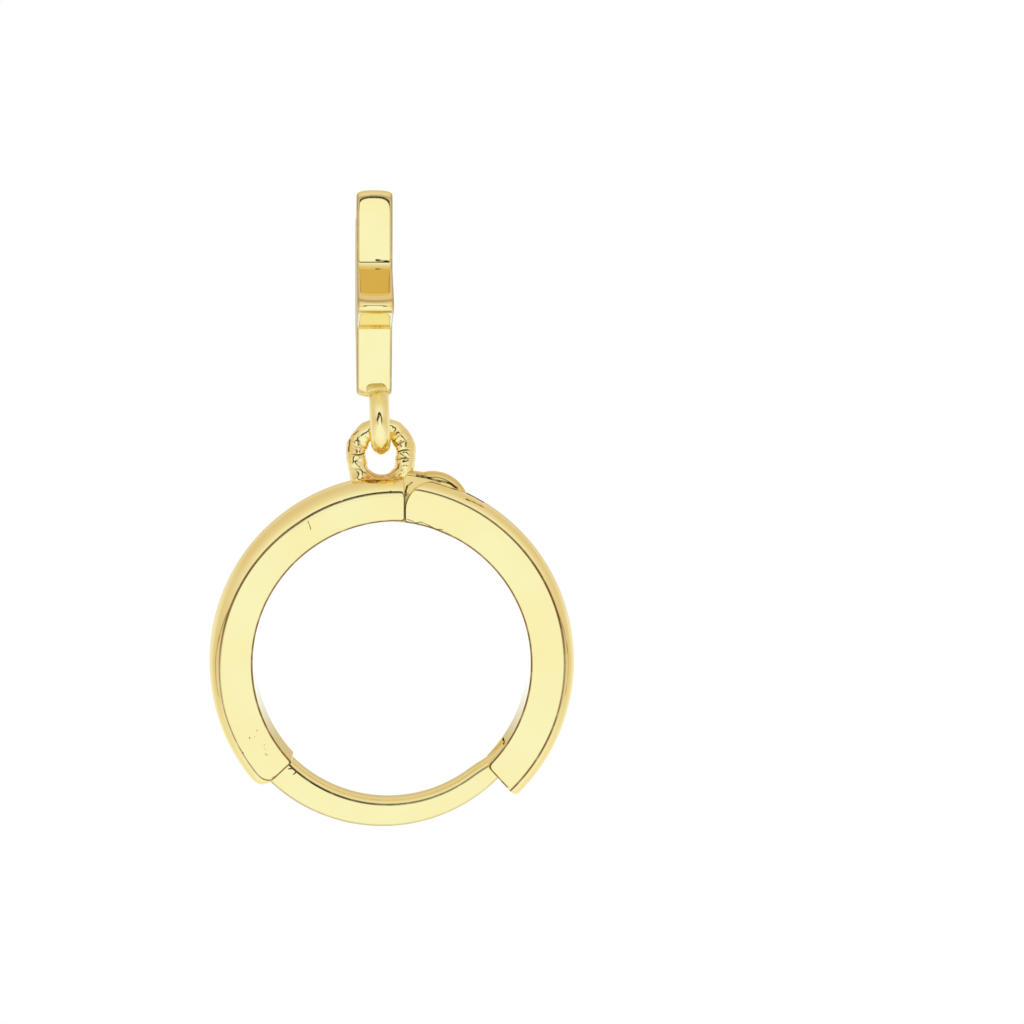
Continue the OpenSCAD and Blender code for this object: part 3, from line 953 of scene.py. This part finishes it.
def star(s):
    """Solid star: layers across its thickness, drawn in by the edge rounding near both faces, which swell
    a little towards the middle. Each layer's outline is the star moved inwards by that much. Painted
    reflection lines run beside the points and along the edges, and one side wall, between the front point
    and the notch below it, carries a painted warm reflection tint."""
    charm = s.charm
    half_t = charm.thick / 2
    down, inset = quarter_round(charm.edge_r, 10)
    x = half_t - down
    between = np.linspace(-x[-1], x[-1], 12)[1:-1]
    x = np.concatenate([-x, between, x[::-1]])
    inset = np.concatenate([inset, 0 * between, inset[::-1]])
    notch_half = STAR_STEP + s.tip_half
    layers = []
    for place_x, shrink in zip(x, inset):
        corner = charm.point_r - shrink / math.sin(s.tip_half)
        droop = charm.droop * (abs(place_x) / half_t) ** 3
        trim = 2 * (corner - (s.star_tip - shrink - droop)) / math.cos(s.tip_half)
        flat = star_loop(corner, charm.notch_r - shrink / math.sin(notch_half), trim, charm.notch_soft)
        layers.append(np.stack([np.full(len(flat), place_x), flat[:, 0], flat[:, 1]], -1))
    wall = np.zeros(len(flat))
    # Painted reflection lines beside each point
    for tip in range(0, 10, 2):
        first = tip * (CORNER + PER_SIDE)
        wall[[first + TIP_LINE, first + CORNER - 1 - TIP_LINE]] = TIP_DARK
    # Painted reflection: that wall takes a warm tint, kept as a negative share
    tinted_wall = 2 * (CORNER + PER_SIDE) + CORNER
    wall[tinted_wall:tinted_wall + PER_SIDE] = -charm.reflection_tint
    # Painted dark reflection lines along the star's edges
    edges = STAR_EDGE_DARK * edge_shade(x, half_t, charm.edge_r)[:, None]
    dark = np.where(edges > STAR_EDGE_PALE, np.maximum(edges, wall), wall)
    points, faces, shades = domed_stack(np.array(layers), dark, charm.swell)
    cos, sin = math.cos(charm.tilt), math.sin(charm.tilt)
    tilted = points @ np.array([[1, 0, 0], [0, cos, sin], [0, -sin, cos]])
    cos, sin = math.cos(charm.turn), math.sin(charm.turn)
    turned = tilted @ np.array([[cos, -sin, 0], [sin, cos, 0], [0, 0, 1]])
    return turned + np.array([s.loop.x + charm.offset, charm.set_back, s.star_z]), faces, shades


def blob(centre, sizes, seed, rough, square=3.0):
    """Lump of solder: an ellipsoid with uneven radius; a power above two makes it squarer."""
    v = np.linspace(0, math.pi, 50)[1:-1, None]
    u = all_round(90)[None]
    r = 1 + rough * ripple(v / math.pi, u, seed, low=1, high=4) * np.sin(v) ** 2
    way = np.stack([np.sin(v) * np.cos(u), np.sin(v) * np.sin(u), np.cos(v) + 0 * u], -1)
    ball = way * (r / np.sum(np.abs(way) ** square, axis=-1) ** (1 / square))[..., None]
    points, faces = poled(ball, [[0, 0, 1.0], [0, 0, -1.0]])
    return points * np.array(sizes) + np.array(centre), faces


def loop_solder(s, aside=0.04 * MM, sunk=0.17 * MM):
    """Flat lump of solder at the feet of the loop, sunk into the dome."""
    centre = (s.loop.x - aside, 0, -s.r_dome + sunk)
    return blob(centre, (0.66 * MM, 0.52 * MM, 0.16 * MM), seed=31, rough=0.2)


def ring_solder(s, aside=0.15 * MM, forward=0.1 * MM, up=0.18 * MM):
    """Flat lump of solder between the ring and the star's top point."""
    centre = (s.loop.x + aside, -forward, s.ring_z - s.charm.ring_d / 2 + up)
    return blob(centre, (0.37 * MM, 0.68 * MM, 0.17 * MM), seed=12, rough=0.03)


class Nodes:
    """The shader nodes of one material or world: each method adds a node and gives its output."""

    def __init__(self, tree):
        self.tree = tree

    def put(self, socket, value):
        """Links a socket to an output, or sets a plain value; None leaves the socket as it is."""
        if isinstance(value, bpy.types.NodeSocket):
            self.tree.links.new(value, socket)
        elif value is not None:
            socket.default_value = value

    def add(self, kind, **values):
        """A node with its properties, or its named inputs, set."""
        made = self.tree.nodes.new(kind)
        for key, value in values.items():
            if hasattr(made, key):
                setattr(made, key, value)
            else:
                self.put(made.inputs[key.replace("_", " ")], value)
        return made

    def number(self, operation, first, second=None, clamp=False):
        """A sum or another step with numbers."""
        made = self.add("ShaderNodeMath", operation=operation, use_clamp=clamp)
        for socket, value in zip(made.inputs, (first, second)):
            self.put(socket, value)
        return made.outputs[0]

    def vector(self, operation, first, second=None):
        """A sum or another step with vectors."""
        made = self.add("ShaderNodeVectorMath", operation=operation)
        for socket, value in zip(made.inputs, (first, second)):
            self.put(socket, value)
        return made.outputs["Value" if operation in ("DOT_PRODUCT", "DISTANCE", "LENGTH") else "Vector"]

    def scaled(self, vector, factor):
        """A vector times a number."""
        made = self.add("ShaderNodeVectorMath", operation="SCALE")
        self.put(made.inputs[0], vector)
        self.put(made.inputs["Scale"], factor)
        return made.outputs["Vector"]

    def noise(self, where, size_mm, detail, output="Fac"):
        """Soft noise with patches of a size in mm."""
        made = self.add("ShaderNodeTexNoise", Scale=1 / (size_mm * MM), Detail=detail, Vector=where)
        return made.outputs[output]

    def fade(self, value, start, stop):
        """Runs softly from 0 at the start to 1 at the stop."""
        made = self.add("ShaderNodeMapRange", interpolation_type="SMOOTHSTEP")
        for socket, given in zip(made.inputs, (value, start, stop, 0.0, 1.0)):
            self.put(socket, given)
        return made.outputs["Result"]

    def part(self, full, value):
        """A factor between 1 - full and 1: the value counts by the share full only."""
        return self.number("ADD", self.number("MULTIPLY", value, full), 1 - full)

    def mixed(self, factor, first, second):
        """The first colour turned into the second one by a factor."""
        made = self.add("ShaderNodeMix", data_type="RGBA")
        for key, value in (("Factor", factor), ("A", first), ("B", second)):
            self.put(made.inputs[key], value)
        return made.outputs["Result"]

    def ramp(self, value, stops, scale=1.0):
        """A colour that runs through stops, each a place and a colour; places are counted in scale."""
        made = self.add("ShaderNodeValToRGB", Fac=value)
        points = made.color_ramp.elements
        for point, (at, tone) in zip(points, (stops[0], stops[-1])):
            point.position, point.color = at / scale, (*tone, 1)
        for at, tone in stops[1:-1]:
            points.new(at / scale).color = (*tone, 1)
        return made.outputs["Color"]


# Small dark marks seen from the front, most of them painted shade in gaps, grooves, cracks and joints, one
# a painted dark reflection on the ring, and one a real solder line on the gate: runs of (x, z) in mm about
# the hoop's middle, and the width of each stroke in mm. The curl at the seam runs over two pieces
# Painted shade in the groove beside the seam
SEAM_CURL = ((-0.66, -6.0), (-0.51, -5.88), (-0.46, -5.72), (-0.47, -5.58))
FIXED_MARKS = (
    (((4.45, 2.187),), 0.02),
    (((4.696, 2.429),), 0.026),
    (((4.528, 2.399),), 0.018),
    (((4.212, 2.667),), 0.02),
    (((4.167, 2.979),), 0.03),
    (((4.111, 3.003),), 0.022),
    (((4.921, 2.932),), 0.03),
    (((4.19, 2.801),), 0.016),
    (((2.738, -4.773), (2.641, -4.51)), 0.016),
)
# The gate: a solder line along its inside under the seam, painted shade at the slot's end, and the seam's
# curl
GATE_MARKS = (
    (((-0.449, -4.858), (-0.632, -4.792), (-0.796, -4.7), (-0.959, -4.74), (-1.221, -4.621),
      (-1.418, -4.503), (-1.68, -4.49)), 0.012),
    (((-2.43, -5.5), (-2.73, -5.36), (-3.0, -5.21)), 0.014),
    (SEAM_CURL, 0.02),
)
# The knuckle: painted shade in the gap where it meets the gate's dome, and the seam's curl
KNUCKLE_MARKS = (
    (((-0.84, -6.225), (-1.023, -6.195), (-1.242, -6.14), (-1.462, -6.07), (-1.681, -6.035),
      (-1.919, -5.965), (-2.15, -5.82)), 0.04),
    (SEAM_CURL, 0.03),
)
# The loop: painted shade in its cracks and dents
LOOP_MARKS = (
    (((1.412, -7.021), (1.401, -7.203), (1.37, -7.4)), 0.026),
    (((1.25, -7.58), (1.1, -7.7)), 0.016),
    (((1.132, -6.472), (0.986, -6.363), (0.804, -6.289)), 0.018),
    (((-0.072, -7.386), (-0.182, -7.276), (-0.328, -7.203)), 0.018),
    (((-0.291, -6.948), (-0.474, -6.838)), 0.022),
    (((-0.255, -6.619), (-0.211, -6.472), (-0.109, -6.399)), 0.024),
)
# The solder at the loop's feet: painted shade in its groove
SOLDER_MARKS = (
    (((0.83, -6.08), (0.6, -6.11), (0.35, -6.07)), 0.014),
    (((0.2, -6.1), (-0.05, -6.06)), 0.012),
)
# The ring: a painted dark reflection
RING_MARKS = ((((0.47, -8.1), (0.41, -8.19)), 0.03),)
STAR_MARKS = ((((0.5, -13.21), (0.3, -13.19), (0.1, -13.175)), 0.035),)
# The post: painted shade in the curl at its root
POST_MARKS = ((((3.431, 3.531), (3.312, 3.522), (3.217, 3.589), (3.17, 3.652), (3.265, 3.725)), 0.02),)

# Patterns in the gold: the size of their patches in mm, and the noise levels between which they fade in
TINT_SIZE, WORKED_TINT_SIZE, TINT_LEVELS = 2.2, 0.45, (0.35, 0.65)
# Patches that break up the painted shade along edges and lines
SHADE_PATCH_SIZE, SHADE_PATCH_LEVELS, SHADE_PATCH_SHARE = 0.35, (0.25, 0.55), 0.35
BROKEN_SIZE, BROKEN_LEVELS, BROKEN_SHARE = 0.12, (0.38, 0.52), 0.4
PIT_SIZE, PIT_LEVELS, PIT_SHARE = 0.16, (0.38, 0.3), 0.32
# Where a mark's stroke begins and is full, in its widths, and how its edge is shaken, in mm
STROKE_RIM, STROKE_CORE = 1.5, 0.4
SHAKEN_SIZE, SHAKEN_BY = 0.22, 0.045
# Roughness: size of its patches, its least and most as shares, and what full painted shade adds
ROUGH_SIZE, ROUGH_LEAST, ROUGH_MOST, ROUGH_SHADED = 0.5, 0.7, 1.5, 0.25
# Bump: scratches are finer upwards; sizes in mm, depths in micrometres
SCRATCH_SIZE, SCRATCH_STRETCH, SCRATCH_DEPTH = 0.05, (1, 1, 6), 0.05
DIMPLE_SIZE, DIMPLE_LEVELS = 0.55, (0.03, 0.09)
MARK_DEPTH = 4.0
MICRON = 1e-6


def strokes(nodes, where, marks, middle_z):
    """Share by which a point, seen from the front, lies on a mark: a stroke round each run of places,
    by the distance from the run's nearest stretch, with an edge shaken by noise. A mark of one place
    is a dot."""
    still = nodes.vector("MULTIPLY", where, (1, 0, 1))
    shaken = nodes.vector("SUBTRACT", nodes.noise(where, SHAKEN_SIZE, 0, "Color"), (0.5, 0.5, 0.5))
    shaken = nodes.scaled(nodes.vector("MULTIPLY", shaken, (1, 0, 1)), SHAKEN_BY * MM)
    flat = nodes.vector("ADD", still, shaken)
    near = None
    for places, width in marks:
        spots = [Vector((x * MM, 0, z * MM + middle_z)) for x, z in places]
        for start, stop in zip(spots, spots[1:] or spots):
            along = stop - start
            if along.length > 0:
                away = nodes.vector("SUBTRACT", flat, start)
                share_along = nodes.vector("DOT_PRODUCT", away, along / along.length_squared)
                share_along = nodes.number("MULTIPLY", share_along, 1.0, clamp=True)
                gap = nodes.vector("DISTANCE", away, nodes.scaled(along, share_along))
            else:
                gap = nodes.vector("DISTANCE", still, start)
            stroke = nodes.fade(gap, width * MM * STROKE_RIM, width * MM * STROKE_CORE)
            near = stroke if near is None else nodes.number("MAXIMUM", near, stroke)
    depth = nodes.add("ShaderNodeSeparateXYZ", Vector=where).outputs["Y"]
    return nodes.number("MULTIPLY", near, nodes.number("LESS_THAN", depth, 0.0))


def gold_material(s, name, tones, shade_colour, mark_colour, marks, roughness, grain_mm, grain_um, dimple_um, pitted):
    """Polished gold: colour and roughness vary softly, and the bump adds hand-polishing waves, fine
    scratches and, where asked, dimples. Painted shade, in the colour given for it, darkens the edges,
    seams, the dome's lines and the cracks by a share kept at the points: dark lines that stand for
    reflections of the dark studio card and for shade in gaps. The pits of worked metal darken too. Where
    that share is negative, a painted warm reflection tint stands in instead. Small marks, mostly painted
    shade in gaps, grooves and joints, take the colour given for them. Without one they take the colour of
    the dark marks, and are cut into the metal too."""
    material = bpy.data.materials.new(name)
    material.use_nodes = True
    nodes = Nodes(material.node_tree)
    shader = material.node_tree.nodes["Principled BSDF"]
    shader.inputs["Metallic"].default_value = 1.0
    where = nodes.add("ShaderNodeTexCoord").outputs["Object"]

    # The share of painted shade kept at the points: a negative share paints the star's warm reflection
    # tint, a positive one dark shade lines
    own = nodes.add("ShaderNodeAttribute", attribute_name="painted_shade").outputs["Fac"]
    reflection_tint = nodes.number("MULTIPLY", own, -1.0, clamp=True)
    own = nodes.number("MAXIMUM", own, 0.0)
    # Noise breaks the painted shade into patches
    patchy = nodes.fade(nodes.noise(where, SHADE_PATCH_SIZE, 2), *SHADE_PATCH_LEVELS)
    shade_and_pits = nodes.number("MULTIPLY", own, nodes.part(SHADE_PATCH_SHARE, patchy))
    light, dark = tones
    tint = nodes.noise(where, WORKED_TINT_SIZE if pitted else TINT_SIZE, 2)
    tint = nodes.ramp(tint, ((TINT_LEVELS[0], dark), (TINT_LEVELS[1], light)))
    base = nodes.mixed(reflection_tint, tint, (*s.gold.warm_deep, 1))
    if pitted:
        pits = nodes.fade(nodes.noise(where, PIT_SIZE, 3), *PIT_LEVELS)
        shade_and_pits = nodes.number("MAXIMUM", shade_and_pits, nodes.number("MULTIPLY", pits, PIT_SHARE))
    base = nodes.mixed(shade_and_pits, base, (*shade_colour, 1))
    drawn = strokes(nodes, where, marks, s.middle_z) if marks else None
    if marks:
        broken = nodes.part(BROKEN_SHARE, nodes.fade(nodes.noise(where, BROKEN_SIZE, 1), *BROKEN_LEVELS))
        base = nodes.mixed(nodes.number("MULTIPLY", drawn, broken), base, (*(mark_colour or s.gold.marks_and_shade), 1))
    nodes.put(shader.inputs["Base Color"], base)

    rough = nodes.add(
        "ShaderNodeMapRange", Value=nodes.noise(where, ROUGH_SIZE, 3),
        To_Min=roughness * ROUGH_LEAST, To_Max=roughness * ROUGH_MOST,
    )
    shaded_roughness = nodes.number("MULTIPLY", shade_and_pits, ROUGH_SHADED)
    nodes.put(shader.inputs["Roughness"], nodes.number("ADD", rough.outputs["Result"], shaded_roughness))

    squeezed = nodes.add("ShaderNodeMapping", Vector=where, Scale=SCRATCH_STRETCH).outputs["Vector"]
    heights = [(nodes.noise(where, grain_mm, 1), grain_um)]
    heights.append((nodes.noise(squeezed, SCRATCH_SIZE, 3), SCRATCH_DEPTH))
    if marks and not mark_colour:
        heights.append((nodes.number("SUBTRACT", 1.0, drawn), MARK_DEPTH))
    if dimple_um:
        cells = nodes.add("ShaderNodeTexVoronoi", Scale=1 / (DIMPLE_SIZE * MM), Vector=where)
        heights.append((nodes.fade(cells.outputs["Distance"], *DIMPLE_LEVELS), dimple_um))
    normal = None
    for height, microns in heights:
        made = nodes.add(
            "ShaderNodeBump", Strength=1.0, Distance=microns * MICRON, Height=height, Normal=normal
        )
        normal = made.outputs["Normal"]
    nodes.put(shader.inputs["Normal"], normal)
    return material


def polished(s, name, marks=(), tones=None, shade_colour=None, mark_colour=None, roughness=None, grain_mm=1.3,
             grain_um=1.2, dimple_um=0.0):
    """The hoop's own polished gold under a name of the piece, unless another pair of tones, colour of
    painted shade or roughness is given."""
    gold = s.gold
    tones, shade_colour = tones or (gold.pale, gold.deep), shade_colour or gold.painted_shade
    rough = roughness or gold.polish
    return gold_material(s, name, tones, shade_colour, mark_colour, marks, rough, grain_mm, grain_um, dimple_um, False)


def worked(s, name, marks, tones, roughness, grain_mm, grain_um, pitted):
    """Gold that was soldered and filed by hand under a name of the piece."""
    gold = s.gold
    return gold_material(
        s, name, tones, gold.marks_and_shade, gold.painted_shade, marks, roughness, grain_mm, grain_um, 0.0, pitted
    )


def loop_gold(s):
    """Pitted, lumpy gold of the hand-made loop."""
    tones = (s.gold.pale, s.gold.wire)
    return worked(
        s, "loop_gold", LOOP_MARKS, tones, roughness=0.1, grain_mm=0.36, grain_um=15.0, pitted=True
    )


def solder_gold(s):
    """Dull orange solder at the feet of the loop."""
    tones = (s.gold.solder, s.gold.solder_deep)
    return worked(
        s, "solder_gold", SOLDER_MARKS, tones, roughness=0.2, grain_mm=0.16, grain_um=9.0, pitted=False
    )


class EARRING_OT_fixed_half(bpy.types.Operator):
    """Makes the fixed half of the hoop with its ear post, knuckle and loop"""

    bl_idname = "earring.fixed_half"
    bl_label = "Fixed half"

    def execute(self, context):
        s = Sizes(context.scene)
        z, colours = s.middle_z, s.gold
        gold = polished(s, "fixed_band_gold", FIXED_MARKS, mark_colour=colours.painted_shade, dimple_um=1.0)
        band = make_piece("fixed_band", fixed_band(s), gold, "hoop", z)
        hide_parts("fixed_half")
        # The post's painted shade takes the dark marks' colour
        gold = polished(s, "ear_post_gold", POST_MARKS, shade_colour=colours.marks_and_shade)
        make_piece("ear_post_bar", ear_post(s), gold, "hoop", z)
        # The knuckle's warm tones are painted shade and warm reflection; its marks paint the shade in its
        # gap
        gold = polished(
            s, "knuckle_gold", KNUCKLE_MARKS, tones=(colours.warm, colours.warm_deep), mark_colour=colours.marks_and_shade,
            roughness=0.1, grain_mm=0.3, grain_um=2.0,
        )
        make_piece("hinge_knuckle", knuckle(s), gold, "hoop", z)
        make_piece("charm_loop", hanging_loop(s), loop_gold(s), "hoop", z)
        solder = solder_gold(s)
        make_piece("loop_foot", loop_foot(s), solder, "hoop", z)
        make_piece("loop_solder", loop_solder(s), solder, "hoop", z)
        return {"FINISHED"}


class EARRING_OT_gate_half(bpy.types.Operator):
    """Makes the half of the hoop that swings open"""

    bl_idname = "earring.gate_half"
    bl_label = "Gate half"

    def execute(self, context):
        s = Sizes(context.scene)
        gold = polished(s, "gate_band_gold", GATE_MARKS)
        gate = make_piece("gate_band", gate_band(s), gold, "gate", s.middle_z)
        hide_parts("gate_half")
        pin = make_piece("pin_bar", pin_bar(s), polished(s, "hinge_pin_gold"), "gate", s.middle_z)
        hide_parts("hinge_pin")
        return {"FINISHED"}


class EARRING_OT_charm(bpy.types.Operator):
    """Makes the star and the ring that it hangs from"""

    bl_idname = "earring.charm"
    bl_label = "Star charm"

    def execute(self, context):
        s = Sizes(context.scene)
        z, colours = s.middle_z, s.gold
        gold = polished(s, "star_gold", STAR_MARKS, mark_colour=colours.marks_and_shade)
        body = make_piece("star_body", star(s), gold, "charm", z, sharp=50)
        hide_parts("star_charm")
        gold = polished(
            s, "ring_gold", RING_MARKS, mark_colour=colours.painted_shade, roughness=0.09, grain_mm=0.5, grain_um=3.0
        )
        make_piece("charm_ring", charm_ring(s), gold, "charm", z)
        solder = polished(
            s, "ring_solder_gold", tones=(colours.pale, colours.warm), roughness=0.42, grain_mm=0.6,
            grain_um=1.0,
        )
        make_piece("ring_solder", ring_solder(s), solder, "charm", z)
        return {"FINISHED"}


# Strength of the studio's red, green and blue light
LIGHT = (1.018, 1.131, 1.347)
# Tones of the studio: the dark card that draws the thin lines, its browner ends, and the warm walls
WHITE = (1.0, 1.0, 1.0)
BLACK = (0.0, 0.0, 0.0)
WARM = (0.84, 0.72, 0.58)
CARD = (0.04, 0.02, 0.008)
BROWN = (0.22, 0.13, 0.06)
TAN = (0.8, 0.66, 0.52)
# Tones of the studio by the angle from the camera's side, in degrees: below, beside and above
LOWER_TONES = (
    (0, WHITE), (11.5, WHITE), (13.5, CARD), (22.5, CARD), (25.5, WHITE), (36, (0.95, 0.89, 0.8)),
    (56, (0.87, 0.76, 0.62)), (80, TAN), (98, (0.79, 0.64, 0.49)), (120, (0.79, 0.64, 0.49)),
    (135, WARM), (158, (0.8, 0.65, 0.44)), (168, (0.68, 0.53, 0.31)), (180, (0.68, 0.54, 0.33)),
)
SIDE_TONES = (
    (0, WHITE), (11.5, WHITE), (13.5, BROWN), (26, BROWN), (29, (0.81, 0.67, 0.52)),
    (50, (0.79, 0.65, 0.5)), (85, (0.81, 0.68, 0.55)), (108, (0.96, 0.87, 0.74)),
    (150, (0.96, 0.86, 0.7)), (160, (0.8, 0.66, 0.42)), (168, (0.66, 0.54, 0.3)),
    (180, (0.66, 0.54, 0.32)),
)
UPPER_TONES = (
    (0, WHITE), (60, WHITE), (80, (0.98, 0.9, 0.75)), (120, (0.97, 0.9, 0.75)), (146, WHITE), (180, WHITE),
)
# The angle straight away from the camera
BEHIND = 180
# Where the side and the lower tones set in and are full: 0 is straight up and 1 straight down
SIDE_ZONE = (0.1, 0.42)
LOWER_ZONE = (0.5, 0.75)


def studio_world(context):
    """White surroundings for the camera, and for the gold a soft studio whose tone depends on the
    direction: bright behind the camera, with a narrow dark card round it beside and below."""
    world = bpy.data.worlds.new("studio")
    context.scene.world = world
    world.use_nodes = True
    world.node_tree.nodes.clear()
    nodes = Nodes(world.node_tree)
    number = nodes.number
    direction = nodes.add("ShaderNodeTexCoord").outputs["Generated"]
    x, y, z = nodes.add("ShaderNodeSeparateXYZ", Vector=direction).outputs
    polar = number("DIVIDE", number("ARCCOSINE", number("MULTIPLY", y, -1.0)), math.pi)
    ring = number("SQRT", number("ADD", number("MULTIPLY", x, x), number("MULTIPLY", z, z)))
    down = number("DIVIDE", number("MULTIPLY", z, -1.0), number("MAXIMUM", ring, TINY))
    down = number("ADD", number("MULTIPLY", down, 0.5), 0.5)
    tones = nodes.ramp(polar, UPPER_TONES, BEHIND)
    for (start, stop), stops in ((SIDE_ZONE, SIDE_TONES), (LOWER_ZONE, LOWER_TONES)):
        share_in = nodes.ramp(down, ((start, BLACK), (stop, WHITE)))
        tones = nodes.mixed(share_in, tones, nodes.ramp(polar, stops, BEHIND))
    lit = nodes.vector("MULTIPLY", tones, LIGHT)
    seen = nodes.add("ShaderNodeLightPath").outputs["Is Camera Ray"]
    back = nodes.add("ShaderNodeBackground", Color=nodes.mixed(seen, lit, (*WHITE, 1)))
    nodes.add("ShaderNodeOutputWorld", Surface=back.outputs["Background"])


def studio_floor(s, points=96, fade_from=0.35, fade_to=0.98):
    """Pale round floor below the star. It fades away between two shares of its radius."""
    studio = s.studio
    rim = np.zeros((points, 3))
    rim[:, :2] = ways(all_round(points)) * studio.floor_r
    rim[:, 2] = CAD_BOX[0][2] - studio.floor_drop
    mesh = bpy.data.meshes.new("floor")
    mesh.from_pydata(rim, [], [list(range(points))])
    material = bpy.data.materials.new("floor_pale")
    material.use_nodes = True
    nodes = Nodes(material.node_tree)
    shader = material.node_tree.nodes["Principled BSDF"]
    shader.inputs["Base Color"].default_value = (*studio.floor_tone, 1)
    shader.inputs["Roughness"].default_value = 0.9
    shader.inputs["Specular IOR Level"].default_value = 0.1
    where = nodes.add("ShaderNodeTexCoord").outputs["Object"]
    far = nodes.vector("LENGTH", nodes.vector("MULTIPLY", where, (1, 1, 0)))
    alpha = nodes.fade(far, studio.floor_r * fade_to, studio.floor_r * fade_from)
    nodes.put(shader.inputs["Alpha"], alpha)
    mesh.materials.append(material)
    floor = bpy.data.objects.new("floor", mesh)
    bpy.context.scene.collection.objects.link(floor)
    floor.visible_glossy = False


class EARRING_OT_stage(bpy.types.Operator):
    """Makes the camera, the light and the floor"""

    bl_idname = "earring.stage"
    bl_label = "Stage"

    def execute(self, context):
        s = Sizes(context.scene)
        studio = s.studio
        scene = context.scene
        scene.view_settings.view_transform = "Standard"
        camera = bpy.data.cameras.new("camera")
        camera.sensor_width = 36.0
        camera.lens = studio.lens
        camera.shift_x, camera.shift_y = studio.shift_x, studio.shift_y
        camera.clip_start, camera.clip_end = 1 * MM, 1.0
        eye = bpy.data.objects.new("camera", camera)
        scene.collection.objects.link(eye)
        look = Vector((0, math.cos(studio.tilt), math.sin(studio.tilt)))
        up = Vector((0, math.sin(studio.tilt), -math.cos(studio.tilt)))
        right = look.cross(up)
        place_z = s.middle_z - studio.drop
        reach = math.sqrt(studio.distance**2 - studio.drop**2)
        turned = Matrix((right, up, -look)).transposed().to_4x4()
        eye.matrix_world = Matrix.Translation((0, -reach, place_z)) @ turned
        scene.camera = eye
        studio_world(context)
        studio_floor(s)
        return {"FINISHED"}


class EARRING_PT_panel(bpy.types.Panel):
    """Lists the pieces of the earring"""

    bl_idname = "EARRING_PT_panel"
    bl_label = "Hoop charm earring"
    bl_space_type = "VIEW_3D"
    bl_region_type = "UI"
    bl_category = "Earring"

    def draw(self, context):
        for name, group in GROUPS.items():
            box = self.layout.box()
            box.label(text=name.replace("_", " "))
            for field in group.__annotations__:
                box.prop(getattr(context.scene, name), field)
        for operator in OPERATORS:
            self.layout.operator(operator.bl_idname)


OPERATORS = (EARRING_OT_stage, EARRING_OT_fixed_half, EARRING_OT_gate_half, EARRING_OT_charm)


def register():
    """Registers the classes and the scene's properties."""
    for made in (*GROUPS.values(), *OPERATORS, EARRING_PT_panel):
        bpy.utils.register_class(made)
    for name, group in GROUPS.items():
        setattr(bpy.types.Scene, name, bpy.props.PointerProperty(type=group))


def unregister():
    """Takes the scene's properties and the classes away."""
    for name in GROUPS:
        delattr(bpy.types.Scene, name)
    for made in reversed((*GROUPS.values(), *OPERATORS, EARRING_PT_panel)):
        bpy.utils.unregister_class(made)


def main():
    """Makes the stage and every piece."""
    register()
    bpy.ops.earring.stage()
    bpy.ops.earring.fixed_half()
    bpy.ops.earring.gate_half()
    bpy.ops.earring.charm()


if __name__ == "__main__":
    main()
